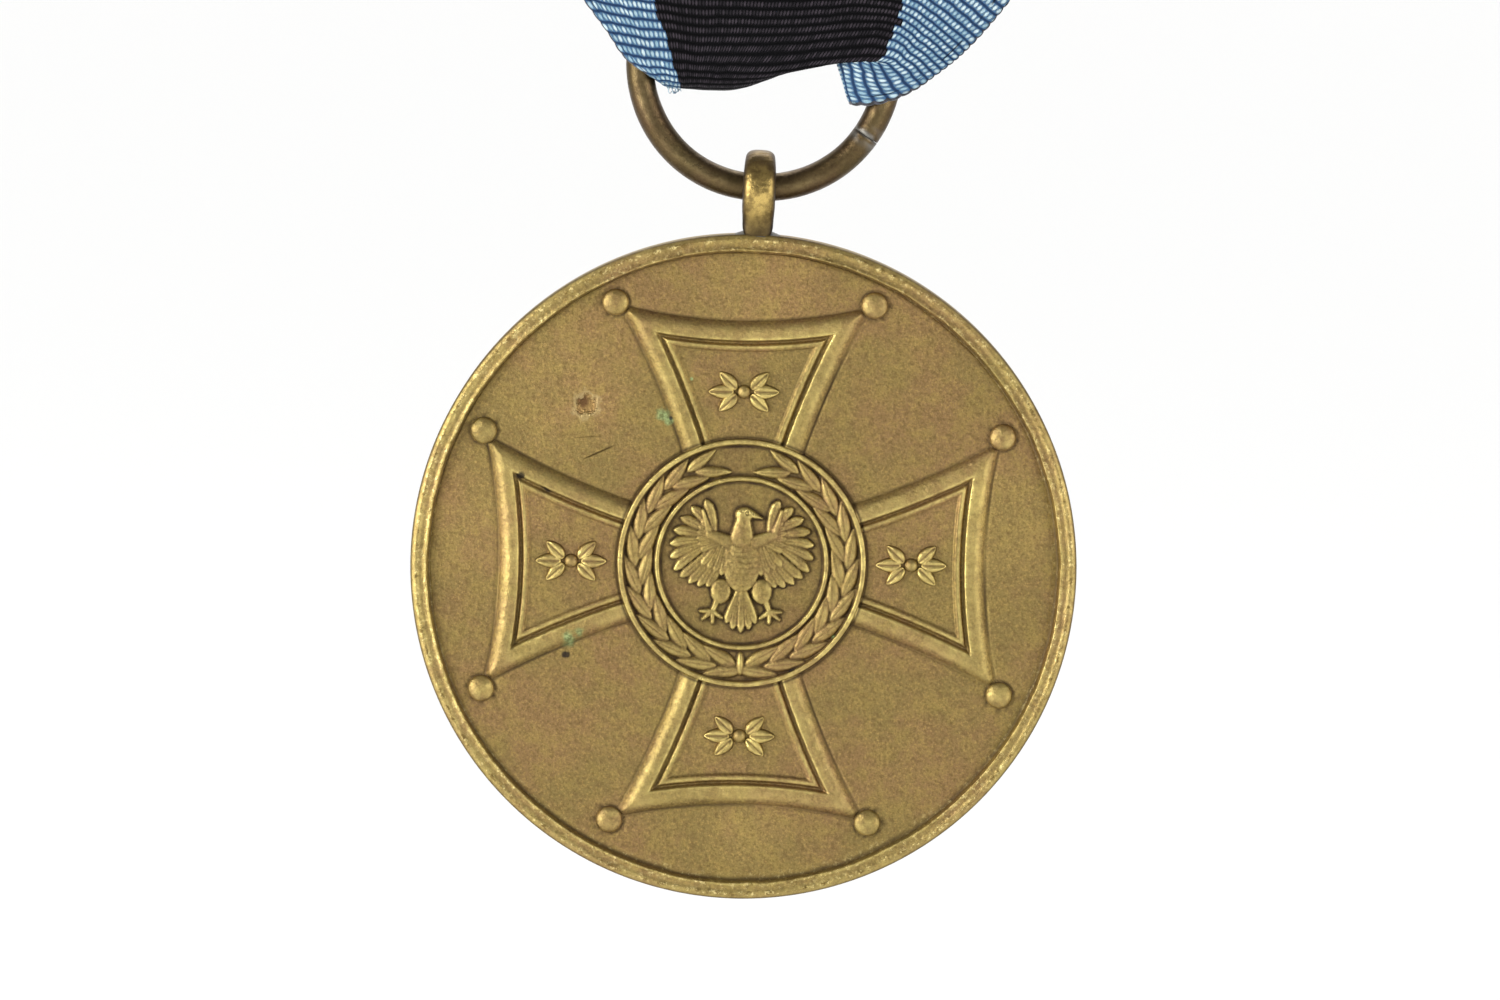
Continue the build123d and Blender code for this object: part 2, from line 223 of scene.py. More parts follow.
class Nodes:
    """The nodes of a new material or world."""

    def __init__(self, owner):
        owner.use_nodes = True
        self.owner = owner
        self.tree = owner.node_tree
        self.tree.nodes.clear()
        self.coord = None

    def node(self, kind, inputs=None, **props):
        """A new node with these properties, its inputs linked, set or, for None, left alone."""
        n = self.tree.nodes.new("ShaderNode" + kind)
        for k, v in props.items():
            setattr(n, k, v)
        for k, v in (inputs or {}).items():
            if isinstance(v, bpy.types.NodeSocket):
                self.tree.links.new(v, n.inputs[k])
            elif v is not None:
                n.inputs[k].default_value = v
        return n

    def surface(self, colour, rough, metallic=0.0, normal=None, **others):
        """Finish a material with these inputs of its shader, the others written with _ for a space."""
        feed = {"Base Color": colour, "Roughness": rough, "Metallic": metallic, "Normal": normal}
        feed.update({k.replace("_", " "): v for k, v in others.items()})
        shader = self.node("BsdfPrincipled", feed)
        self.node("OutputMaterial", {0: shader.outputs[0]})
        return self.owner

    def coords(self):
        if self.coord is None:
            self.coord = self.node("TexCoord").outputs["Object"]
        return self.coord

    def scaled(self, scale):
        return self.node("Mapping", {"Vector": self.coords(), "Scale": scale}).outputs[0]

    def noise(self, scale, detail, rough, vector=None):
        feed = {"Vector": vector or self.coords(), "Scale": scale, "Detail": detail, "Roughness": rough}
        return self.node("TexNoise", feed).outputs["Fac"]

    def attr(self, name):
        return self.node("Attribute", attribute_name=name).outputs["Fac"]

    def ramp(self, value, a, b, lo=0.0, hi=1.0):
        """lo at a, hi at b, eased between."""
        feed = {"Value": value, "From Min": a, "From Max": b, "To Min": lo, "To Max": hi}
        return self.node("MapRange", feed, interpolation_type="SMOOTHSTEP").outputs["Result"]

    def math(self, op, a, b=0.0, clamp=False):
        return self.node("Math", {0: a, 1: b}, operation=op, use_clamp=clamp).outputs[0]

    def add(self, a, b):
        return self.math("ADD", a, b)

    def sub(self, a, b):
        return self.math("SUBTRACT", a, b)

    def mul(self, a, b, clamp=False):
        return self.math("MULTIPLY", a, b, clamp)

    def vector(self, op, inputs, output="Vector"):
        return self.node("VectorMath", inputs, operation=op).outputs[output]

    def mix(self, fac, a, b):
        return self.node("Mix", {0: fac, 6: a, 7: b}, data_type="RGBA").outputs[2]

    def bump(self, height, strength, distance, normal=None):
        feed = {"Height": height, "Strength": strength, "Distance": distance, "Normal": normal}
        return self.node("Bump", feed).outputs[0]


def material(name):
    return Nodes(bpy.data.materials.new(name))


def rgb(*colour):
    """An sRGB colour, 0 to 255, as linear RGBA."""
    c = np.array(colour) / 255
    return (*np.where(c <= 0.04045, c / 12.92, ((c + 0.055) / 1.055) ** 2.4), 1.0)


def shade(c, r, g, b):
    return (c[0] * r, c[1] * g, c[2] * b, 1.0)


def bronze(name, field, dark, wear_and_highlight, rough=0.42, metal=0.85, grain=1.0):
    """Aged bronze, darker with dirt in its hollows and with painted shade, lighter on crests with wear and
    with painted highlights: its nodes, colour, roughness, metallic and grain.
    """
    m = material(name)
    big, patch, mid = m.noise(230, 5, 0.6), m.noise(800, 5, 0.7), m.noise(1900, 4, 0.7)
    small, sand = m.noise(3300, 5, 0.7), m.noise(7500, 3, 0.7)
    base = m.mix(m.ramp(big, 0.4, 0.6), shade(field, 0.96, 1.0, 0.93), shade(field, 1.06, 0.95, 1.08))
    # each layer's noise, where it comes in, how much of it, and its shade of the field's colour
    for where, lo, hi, start, full, tint in (
        (patch, 0.42, 0.66, 0, 0.6, (1.25, 1.32, 1.06)),
        (mid, 0.5, 0.68, 0, 0.3, (0.8, 0.72, 0.8)),
        (small, 0.48, 0.66, 0, 0.55, (0.64, 0.58, 0.62)),
        (sand, 0.54, 0.64, 0, 0.6, (1.6, 1.56, 1.35)),
        (sand, 0.36, 0.46, 0.6, 0, (0.55, 0.52, 0.5)),
    ):
        base = m.mix(m.ramp(where, lo, hi, start * grain, full * grain), base, shade(field, *tint))
    # darker with dirt in hollows and with painted shade, lighter with wear on crests and with painted
    # highlights
    dirt_and_shade_mask = m.mul(m.attr("dirt_and_shade"), m.ramp(small, 0.25, 0.75, 1.1, 0.75), clamp=True)
    crest = m.mul(m.attr("crest"), m.ramp(m.noise(1500, 5, 0.75), 0.36, 0.62, 0.4, 1.15), clamp=True)
    base = m.mix(dirt_and_shade_mask, m.mix(crest, base, wear_and_highlight), dark)
    r = m.sub(m.ramp(small, 0.3, 0.7, rough - 0.06, rough + 0.08), m.mul(crest, 0.12))
    r = m.add(r, m.mul(dirt_and_shade_mask, 0.25))
    return m, base, r, m.ramp(dirt_and_shade_mask, 0.0, 1.0, metal, metal - 0.2), small


def spot(m, u, v, radius, ragged=0.5, stretch=(1, 1), turn=0.0):
    """0 in the middle of a ragged patch of the struck face at these relief coordinates, 1 at its edge."""
    p = m.vector("SUBTRACT", {0: m.coords(), 1: to_world(u, v, 0.0) * MM})
    turned = {"Vector": p, "Angle": radians(turn)}
    p = m.node("VectorRotate", turned, rotation_type="Y_AXIS").outputs[0]
    p = m.vector("MULTIPLY", {0: p, 1: tuple(1 / (radius * MM * k) for k in (stretch[0], 2.5, stretch[1]))})
    rag = m.mul(m.sub(m.noise(2600, 3, 0.6), 0.5), ragged * 4)
    return m.add(m.vector("LENGTH", {0: p}, "Value"), rag)


# painted light: the field is lighter in patches where more light falls on it: place and radius
LIT_PATCHES = ((-12.9, 2.0, 3.4), (12.9, 2.4, 3.4), (0.6, 13.3, 3.0), (-8.8, 8.8, 4.2), (0.4, -13.2, 2.2))
# verdigris: place, radius, raggedness
GREEN = ((-3.95, 7.3, 0.34, 0.5), (-3.7, 7.0, 0.22, 0.5), (-8.5, -3.85, 0.4, 0.5), (-8.0, -3.5, 0.26, 0.5),
         (4.6, -3.6, 0.12, 0.3), (-2.6, 9.1, 0.1, 0.4))
# black residue: place, radius, length as a multiple of it, slope
BLACK = ((-11.0, 4.2, 0.26, 0.9, -27), (-9.7, 3.55, 0.14, 2.4, -27), (-8.65, -4.7, 0.2, 1.2, 0),
         (-5.95, 0.2, 0.13, 1.2, 80), (-5.85, 1.75, 0.13, 1.2, 70), (2.6, -5.35, 0.15, 2.2, 26),
         (-3.6, 7.15, 0.11, 1.0, 0))


def struck_bronze():
    """The disc's bronze, with the marks of its own that the front has, and painted light in patches of its
    field.
    """
    field, dark, wear_and_highlight = rgb(137, 115, 70), rgb(54, 38, 17), rgb(206, 185, 112)
    m, base, rough, metallic, fine = bronze("bronze_struck", field, dark, wear_and_highlight)
    nick = m.attr("nick")
    bites = m.mul(m.ramp(m.noise(2700, 5, 0.8), 0.4, 0.48, 0.8, 0), nick)
    base = m.mix(bites, base, rgb(104, 82, 40))
    glints = m.mul(m.ramp(m.noise(4300, 4, 0.8), 0.54, 0.64, 0, 0.85), nick)
    base = m.mix(glints, base, rgb(236, 216, 148))
    # painted light: the field is made lighter in these patches
    painted_light = 0.0
    for u, v, radius in LIT_PATCHES:
        painted_light = m.math("MAXIMUM", painted_light, m.ramp(spot(m, u, v, radius, 0.12), 0.1, 1.5, 1, 0))
    base = m.vector("SCALE", {0: base, "Scale": m.ramp(painted_light, 0, 1, 1, 1.16)})
    speck = m.ramp(m.noise(5200, 3, 0.7), 0.4, 0.62)
    for u, v, radius, ragged in GREEN:
        mask = m.ramp(spot(m, u, v, radius, ragged), 0.4, 1.25, 0.8, 0)
        base = m.mix(mask, base, m.mix(speck, rgb(88, 104, 56), rgb(150, 172, 112)))
        metallic = m.mul(metallic, m.ramp(mask, 0, 1, 1, 0.25))
    for u, v, radius, long, turn in BLACK:
        mask = m.ramp(spot(m, u, v, radius, 0.35, (long, 1), turn), 0.6, 1.15, 0.9, 0)
        base = m.mix(mask, base, rgb(34, 30, 30))
    # a pit with its burr and two scratches, where the metal was damaged
    pit = spot(m, -7.8, 7.75, 0.56, 0.45, (1.0, 1.1))
    pit_dark = spot(m, -7.95, 7.95, 0.3, 0.3, (1.0, 1.3), 30)
    burr = m.mul(m.ramp(pit, 0.66, 0.92), m.ramp(pit, 0.98, 1.35, 0.5, 0))
    scratch = spot(m, -7.1, 5.42, 0.05, 0.0, (19, 1), 26)
    scratch_b = spot(m, -7.7, 6.15, 0.032, 0.0, (28, 1), 7)
    base = m.mix(m.ramp(pit, 0.45, 0.95, 0.6, 0), base, rgb(148, 116, 70))
    base = m.mix(m.ramp(pit_dark, 0.5, 1.1, 0.8, 0), base, rgb(88, 58, 36))
    base = m.mix(burr, base, rgb(188, 166, 116))
    base = m.mix(m.ramp(scratch, 0.5, 1.1, 0.8, 0), base, rgb(70, 54, 28))
    base = m.mix(m.ramp(scratch_b, 0.5, 1.1, 0.55, 0), base, rgb(78, 60, 30))
    lines = m.noise(1.0, 3, 0.6, vector=m.scaled((2200, 2200, 9000)))
    normal = m.bump(lines, 0.3, 0.00003, m.bump(fine, 0.7, 0.00008))
    normal = m.bump(m.ramp(pit, 0.4, 1.0), 0.7, 0.00022, normal)
    return m.surface(base, rough, metallic, m.bump(m.ramp(scratch, 0.3, 1.1), 0.7, 0.00008, normal))


def wire_bronze(name, field, wear_and_highlight):
    """Darker, smoother bronze, grey where the attribute says solder."""
    m, base, rough, metallic, fine = bronze(name, field, rgb(36, 26, 16), wear_and_highlight, 0.36, 0.9, 0.6)
    base = m.mix(m.attr("grey"), base, rgb(128, 126, 120))
    return m.surface(base, rough, metallic, m.bump(fine, 0.5, 0.00007))


def solder_grey():
    m = material("solder_grey")
    n = m.noise(1800, 5, 0.65)
    colour = m.mix(m.ramp(n, 0.35, 0.65), rgb(58, 55, 50), rgb(120, 116, 104))
    return m.surface(colour, m.ramp(n, 0.3, 0.7, 0.4, 0.62), 0.7, m.bump(n, 0.6, 0.00015))


BRONZE = struck_bronze()
WIRE = wire_bronze("bronze_wire", rgb(80, 66, 42), rgb(146, 128, 88))
EYE_BRONZE = wire_bronze("bronze_eye", rgb(76, 60, 36), rgb(198, 170, 100))
SOLDER = solder_grey()

# -------- struck disc

# the cross: right of its upper arm, its side's circle runs from root to tip, and the end's through END_MID
ROOT_R = 6.15
ROOT = np.array([2.95, sqrt(ROOT_R**2 - 2.95**2)])
SIDE_MID = (4.42, 9.2)
TIP = np.array([6.2, 12.75])
END_MID = 12.0
OUT_R = 15.35  # where the field ends
RIM_FOOT, RIM_TOP = 15.55, 15.72  # the rim's inner wall
BEVEL, EDGE_Y = 0.22, HALF_T - 0.24  # roundings of the disc's edge, and where they begin
BALL_R = 0.67
BALLS = [(sx * 6.41 * c + 12.85 * s, -sx * 6.41 * s + 12.85 * c) for c, s in QUARTERS for sx in (1, -1)]


def circle_through(a, b, c):
    a, b, c = map(np.asarray, (a, b, c))
    m = np.array([b - a, c - a]) * 2
    rhs = np.array([b @ b - a @ a, c @ c - a @ a])
    centre = np.linalg.solve(m, rhs)
    return centre, np.linalg.norm(centre - a)


SIDE_C, SIDE_R = circle_through(ROOT, SIDE_MID, TIP)
END_C, END_R = circle_through((-TIP[0], TIP[1]), (0, END_MID), TIP)


def arm_depth(u, v):
    """How far inside the nearest arm's outline a point is."""
    best = np.full_like(u, -99.0)
    for c, s in QUARTERS:
        p, q = u * c - v * s, u * s + v * c
        side = np.hypot(np.abs(p) - SIDE_C[0], q - SIDE_C[1]) - SIDE_R
        end = np.hypot(p - END_C[0], q - END_C[1]) - END_R
        best = np.maximum(best, np.where(q > 0, np.minimum(side, end), -99.0))
    return best


def arm_profile(d):
    """Height, crest and cavity across an arm's border, frame line and panel."""
    h = 0.32 * (1 - (1 - unit(d / 0.62)) ** 2.1)
    h -= 0.29 * smooth(0.93, 1.05, d)
    h += 0.17 * smooth(1.12, 1.22, d) - 0.13 * smooth(1.42, 1.55, d)
    h -= 0.04 * peak(d, -0.05, 0.05)
    crest = 0.36 * smooth(0.12, 0.42, d) * smooth(1.0, 0.9, d)
    crest += 0.5 * peak(d, 0.9, 0.07) + 0.85 * peak(d, 1.3, 0.06)
    dirt_and_shade = 1.1 * peak(d, -0.03, 0.06) + 0.68 * peak(d, 1.085, 0.04) + 0.45 * peak(d, 1.57, 0.045)
    return h, unit(crest), unit(dirt_and_shade)


def rim_profile(r):
    """Height, crest and cavity across the rim."""
    h = 0.45 * smooth(RIM_FOOT, RIM_TOP, r) - 0.05 * mound(r, 15.97, 0.2) - 0.03 * peak(r, 15.5, 0.08)
    return h, 0.9 * peak(r, 15.74, 0.07) + 0.55 * peak(r, 16.2, 0.14), 0.8 * peak(r, RIM_FOOT, 0.05)


def side_point(t):
    """A point of an arm's side, from its root at 0 to its tip at 1."""
    start, end = (atan2(p[1] - SIDE_C[1], p[0] - SIDE_C[0]) for p in (ROOT, TIP))
    a = start + (end - start) * t
    return SIDE_C[0] + SIDE_R * np.cos(a), SIDE_C[1] + SIDE_R * np.sin(a)


def front_rows():
    """Rows of (u, v) from the medallion's edge to the outer field, all round, in relief coordinates."""
    half = np.concatenate([np.linspace(0, 0.52, 15)[:-1], np.linspace(0.52, 1.0, 32)])
    arm = np.concatenate([-half[::-1], half[1:]])
    half = np.concatenate([[0.0, 0.008, 0.016, 0.026, 0.038, 0.055, 0.08, 0.115], np.linspace(0.16, 0.5, 9)])
    between = np.concatenate([half, 1 - half[::-1][1:]])[1:-1]
    rows = []
    for t in np.concatenate([np.linspace(0, 0.72, 46)[:-1], np.linspace(0.72, 1.0, 38)]):
        px, py = side_point(t)
        end = END_C[1] - np.sqrt(END_R**2 - (arm * TIP[0]) ** 2)
        circ = np.sqrt(ROOT_R**2 - np.minimum(np.abs(arm * ROOT[0]), ROOT_R) ** 2)
        v = py + (end - TIP[1]) * t**1.6 + (circ - ROOT[1]) * (1 - t) ** 2
        r, a = hypot(px, py), atan2(py, px)
        # the next arm's near side, clockwise, is this side mirrored about the diagonal
        a = a + (pi / 2 - 2 * a) * between
        rows.append((np.concatenate([arm * px, r * np.cos(a)]), np.concatenate([v, r * np.sin(a)])))
    last_u, last_v = rows[-1]
    a = np.arctan2(last_v, last_u)
    for t in np.concatenate([[0.02, 0.05, 0.09, 0.14, 0.21], np.linspace(0.3, 1.0, 8)]):
        rows.append((last_u + (OUT_R * np.cos(a) - last_u) * t, last_v + (OUT_R * np.sin(a) - last_v) * t))
    return [np.concatenate([(u * c + v * s, -u * s + v * c) for c, s in QUARTERS], axis=1) for u, v in rows]


def make_disc():
    """The disc in rows round its axis: front, rim, edge, back."""
    rows = front_rows()
    cols = len(rows[0][0])
    verts, crest, dirt_and_shade, nicks = [], [], [], []

    def add_row(u, v, h, cr=0.0, ca=0.0, nicked=0.0):
        verts.append(to_world(u, v, h))
        for values, value in ((crest, cr), (dirt_and_shade, ca), (nicks, nicked)):
            values.append(np.full(cols, value))

    # the front is sunk under the medallion's own mesh
    for k in (0.0, 0.5, 0.955):
        add_row(rows[0][0] * k, rows[0][1] * k, -0.15)
    for u, v in rows:
        h, cr, ca = arm_profile(arm_depth(u, v))
        ca *= np.clip(0.6 + 0.5 * noise(u, v, 2.6, 7), 0.25, 1.0)
        cr *= 0.85 + 0.4 * noise(u, v, 0.9, 17)
        ball = np.min([np.hypot(u - bu, v - bv) for bu, bv in BALLS], axis=0)
        ca = np.maximum(ca, 0.9 * peak(ball, 0.71, 0.055))
        ca = np.maximum(ca, 0.9 * peak(np.hypot(u, v), 6.26, 0.06))
        h = h * smooth(0.6, 0.86, ball) - 0.03 * peak(ball, 0.76, 0.1)
        h = h + 0.012 * noise(u, v, 2.7, 5) + 0.006 * noise(u, v, 0.8, 6)
        add_row(u, v, h, cr, ca)
    # rim, on the disc's own centre
    shift_u = -(RELIEF_DX * TURN_C + RELIEF_DZ * TURN_S)
    shift_v = -(-RELIEF_DX * TURN_S + RELIEF_DZ * TURN_C)
    a = np.arctan2(rows[-1][1], rows[-1][0])
    for r in np.concatenate([np.linspace(15.42, 15.8, 13), np.linspace(15.84, 16.28, 9)]):
        t = smooth(OUT_R, 15.6, r)
        u, v = r * np.cos(a) + shift_u * t, r * np.sin(a) + shift_v * t
        h, cr, ca = rim_profile(np.full(cols, r) + 0.03 * noise(u, v, 0.9, 8))
        rough = 0.012 * noise(u, v, 1.3, 10) - 0.03 * smooth(0.35, 0.9, noise(u, v, 0.42, 9))
        h = h + rough * smooth(15.6, 15.8, r)
        # painted highlight: the rim's crests are lightest at the left, then the bottom and right, darkest at
        # the top, as the light falls
        sides = 0.55 - 0.2 * np.cos(a) + 0.3 * np.cos(a) ** 2 - 0.22 * np.sin(a)
        cr = (cr + 0.15) * sides * (0.8 + 0.45 * noise(u, v, 0.33, 12))
        add_row(u, v, h, cr, ca, 0.3 + 0.7 * smooth(16.05, 16.2, r) + 0.6 * mound(r, 15.76, 0.14))

    def edge_row(r, y, cr, ca):
        add_row(r * np.cos(a) + shift_u, r * np.sin(a) + shift_v, -FIELD - y, cr, ca, 0.15)

    inner = DISC_R - BEVEL
    # painted shade: the front rounding darkens towards the side wall, and the side wall is darker too
    for deg in np.linspace(20, 90, 6):
        t = radians(deg)
        edge_row(inner + BEVEL * sin(t), -EDGE_Y - 0.2 * cos(t), 0.35, 0.8 * smooth(25, 60, deg))
    for y in (-0.5, 0.0, 0.5):
        edge_row(DISC_R, y, 0.1, 0.3)
    for deg in np.linspace(0, 78, 6):
        t = radians(deg)
        edge_row(inner + BEVEL * cos(t), EDGE_Y + BEVEL * sin(t), 0.3, 0.0)
    # back
    for r in (16.05, 15.9, 15.78, 15.7, 15.64, 15.58, 15.5, 15.2, 14.4, 13, 11.5, 10, 8, 6, 4, 2, 0):
        u, v = r * np.cos(a), r * np.sin(a)
        h = 0.44 * smooth(RIM_FOOT, RIM_TOP, r) + 0.01 * noise(u, v, 2.2, 15)
        ca = 0.9 * peak(r, 15.53, 0.08) + 0.12 * (10 < r < 14.4)
        add_row(u + shift_u, v + shift_v, -2 * FIELD - h, 0.9 * peak(r, 15.74, 0.07), ca, 0.2 * (r > 15.6))
    faces = grid_faces(len(verts), cols, flip=True)
    at = {"crest": np.concatenate(crest), "dirt_and_shade": np.concatenate(dirt_and_shade), "nick": np.concatenate(nicks)}
    return weld(add_piece("struck_disc", np.concatenate(verts), faces, "medal", "medal_bronze", BRONZE, at))


disc_obj = make_disc()
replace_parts(disc_obj, "medal_disc")

# -------- wreaths and bird

MED_R = 6.3


def wreath_leaves(mid, count, first, step, tilt, length, width, spread):
    """Leaves of two branches that rise from the bottom: x, y, direction, half length, half width."""
    out = []
    for side in (1, -1):
        for i in range(count):
            for row in (1, -1):
                around = first + (i + (0.0 if row > 0 else 0.28)) * step
                r = mid + row * spread
                a = radians(-90 + side * around)
                lean = radians(-90 + side * (around + 90 - row * tilt))
                shrink = 1.0 - 0.2 * max(0, i - count + 3) / 3
                out.append((r * cos(a), r * sin(a), lean, length * shrink, width * shrink))
    return out


MED_LEAVES = wreath_leaves(5.1, 11, 9, 14.9, 17, 1.08, 0.345, 0.37)


def leaf_height(u, v, leaf, vein):
    """Rounded pointed leaf, 0 outside and about 1 on its back."""
    x, y, a, long, wide = leaf
    p = (u - x) * cos(a) + (v - y) * sin(a)
    q = -(u - x) * sin(a) + (v - y) * cos(a)
    k = np.clip(p / long, -1, 1)
    half = wide * (1 - k**2) ** 0.75 * (1 - 0.25 * k) + 1e-6
    h = mound(q, 0, half) ** 0.5 * (1 - np.abs(k) ** 3) ** 0.5
    return h * (1 - vein * peak(q, 0, 0.045) * (np.abs(k) < 0.85))


def stroke(u, v, a, b, wa, wb):
    """A tapered bar from a to b: 1 on its middle line, 0 from its edge."""
    a, b = np.array(a), np.array(b)
    d = b - a
    t = unit(((u - a[0]) * d[0] + (v - a[1]) * d[1]) / (d @ d))
    dist = np.hypot(u - a[0] - d[0] * t, v - a[1] - d[1] * t)
    return mound(dist, 0, wa + (wb - wa) * t)


def feather(u, v, base, tip, width, curve=0.0):
    """A feather with a rounded end, a quill line and fine barbs."""
    base, tip = np.array(base, float), np.array(tip, float)
    d = tip - base
    n = np.hypot(*d)
    ex, ey = d / n
    p = ((u - base[0]) * ex + (v - base[1]) * ey) / n
    q = -(u - base[0]) * ey + (v - base[1]) * ex - curve * (p * (1 - p)) * 4
    k = unit(p)
    half = width * unit(0.55 + 0.75 * k) * unit((1.0 - k) / 0.16) ** 0.5 + 1e-6
    s = mound(q, 0, half) * (p > -0.08) * (p < 1)
    h = s**0.5 * (0.75 + 0.25 * smooth(0.0, 0.5, p) * (1 - smooth(0.85, 1.0, p)))
    quill = peak(q, 0, 0.035) * smooth(0.1, 0.25, k) * (1 - smooth(0.8, 0.95, k))
    barbs = 0.05 * np.sin((p * n + np.abs(q) * 0.8) * 2 * pi / 0.17) * (np.abs(q) > 0.04)
    return np.clip(h * (1 - 0.16 * quill + barbs * s), 0, None)


# the tips of the long wing feathers: degrees and distance from the middle, then places, nearer the body
PRIMARY_TIPS = ((60, 3.62), (48, 3.74), (36.5, 3.78), (25.5, 3.76), (14.5, 3.68), (4.0, 3.56), (-6.5, 3.36))
SECOND_TIPS = ((3.02, -0.72), (2.6, -1.02), (2.14, -1.18), (1.7, -1.2))
WRIST, SHOULDER, ANKLE = (1.62, 1.42), (0.62, 1.02), (1.42, -2.4)


def bird(u, v):
    """A bird seen from the front with its wings out and its tail spread, 0 outside."""
    side = np.abs(u)
    h = np.zeros_like(u)

    def over(layer, level):
        nonlocal h
        h = np.maximum(h, np.where(layer > 0, level * (0.45 + 0.55 * layer), 0))

    for i, tip in reversed(list(enumerate(SECOND_TIPS))):
        base = (SHOULDER[0] + 0.12 + 0.2 * (3 - i), SHOULDER[1] - 0.1)
        over(feather(side, v, base, tip, 0.25, -0.08), 0.21)
    for deg, r in PRIMARY_TIPS:
        a = radians(deg)
        base = (WRIST[0] - 0.25, WRIST[1] - 0.35 + 0.3 * smooth(0, 60, deg))
        over(feather(side, v, base, (r * cos(a), r * sin(a)), 0.25, 0.1), 0.235)
    # shorter coverts
    for t in np.arange(6) / 5:
        a = radians(52 - 74 * t)
        base = (1.35 - 0.3 * t, 1.25 - 0.25 * t)
        tip = (base[0] + 1.08 * cos(a), base[1] + 1.08 * sin(a))
        over(feather(side, v, base, tip, 0.2, 0.04), 0.275)
    for t in np.arange(4) / 3:
        over(feather(side, v, (1.25 - 0.5 * t, 0.9), (2.0 - 1.0 * t, -0.12 - 0.5 * t), 0.22, -0.04), 0.27)
    over(stroke(side, v, SHOULDER, WRIST, 0.36, 0.26) ** 0.5, 0.31)
    over(stroke(side, v, WRIST, (1.95, 2.62), 0.24, 0.08) ** 0.5, 0.3)
    # tail
    for deg, n in ((24, 1.8), (-24, 1.8), (12, 2.0), (-12, 2.0), (0, 2.1)):
        a = radians(-90 + deg)
        tip = (n * cos(a), -1.35 + n * sin(a))
        over(feather(u, v, (0.1 * np.sign(deg), -1.2), tip, 0.21), 0.24 + 0.02 * (deg == 0))
    # legs, spread toes and thighs
    over(stroke(side, v, (1.15, -1.75), ANKLE, 0.17, 0.12) ** 0.5, 0.22)
    for toe in ((0.95, -2.72), (1.4, -2.95), (1.9, -2.78), (2.0, -2.4)):
        over(stroke(side, v, ANKLE, toe, 0.15, 0.09) ** 0.5, 0.23)
    thigh = oval(side, v, 1.02, -1.4, 0.5, 0.62)
    over(thigh**0.5 * (0.93 + 0.07 * noise(u, v, 0.22, 33)), 0.3)
    # body with small overlapping feathers, worn
    body = oval(u, v, 0, 0.1, 0.95 - 0.1 * smooth(0, 1.5, v), 1.55)
    row = v / 0.3 + 0.6 * noise(u, v, 0.5, 31)
    col = u / 0.34 + 0.5 * (np.floor(row) % 2) + 0.5 * noise(u, v, 0.45, 32)
    f, g = col - np.floor(col) - 0.5, row - np.floor(row)
    under = unit((g - 1.9 * f**2) / 0.4)
    over(body**0.5 * (0.9 + 0.07 * under + 0.07 * noise(u, v, 0.24, 34)), 0.37)
    neck = stroke(u, v, (0.0, 1.2), (0.06, 2.3), 0.62, 0.34)
    over(neck**0.5 * (0.94 + 0.06 * noise(u, v, 0.2, 35)), 0.37)
    over(oval(u, v, 0.1, 2.42, 0.46, 0.36) ** 0.5, 0.375)
    over(stroke(u, v, (0.42, 2.46), (0.98, 2.24), 0.2, 0.05) ** 0.5, 0.33)
    eye = np.hypot(u - 0.25, v - 2.5)
    return h - 0.07 * peak(eye, 0.085, 0.03) * (h > 0.2)


def med_height(u, v):
    """Height of the medallion: its two rings, the wreath between them and the bird."""
    r = np.hypot(u, v)
    h = 0.05 * (1 - smooth(6.16, 6.24, r))
    h = h + 0.33 * smooth(6.2, 6.12, r) * smooth(5.82, 5.94, r)
    h = h + 0.29 * smooth(4.36, 4.27, r) * smooth(4.03, 4.13, r)
    rel = np.zeros_like(u)
    band = (r > 4.25) & (r < 5.95)
    for leaf in MED_LEAVES:
        near = band & (np.abs(u - leaf[0]) < 1.2) & (np.abs(v - leaf[1]) < 1.2)
        if near.any():
            rel[near] = np.maximum(rel[near], 0.2 * leaf_height(u[near], v[near], leaf, 0.12))
    rel = np.maximum(rel, 0.25 * oval(u, v, 0, -5.0, 0.2, 0.62) ** 0.5)
    inner = r < 4.0
    rel[inner] = bird(u[inner], v[inner])
    h = np.maximum(h, np.where(rel > 0, 0.05 + rel, 0))
    h = h + 0.008 * noise(u, v, 0.9, 21) + 0.006 * noise(u, v, 0.28, 22)
    return h - 0.06 * smooth(6.18, MED_R, r)


def blur(a, n):
    """Box blur along both axes, twice, n cells each way."""
    for _ in range(4):
        c = np.cumsum(np.pad(a, ((n + 1, n), (0, 0)), mode="edge"), axis=0)
        a = ((c[2 * n + 1 :] - c[: -2 * n - 1]) / (2 * n + 1)).T
    return a


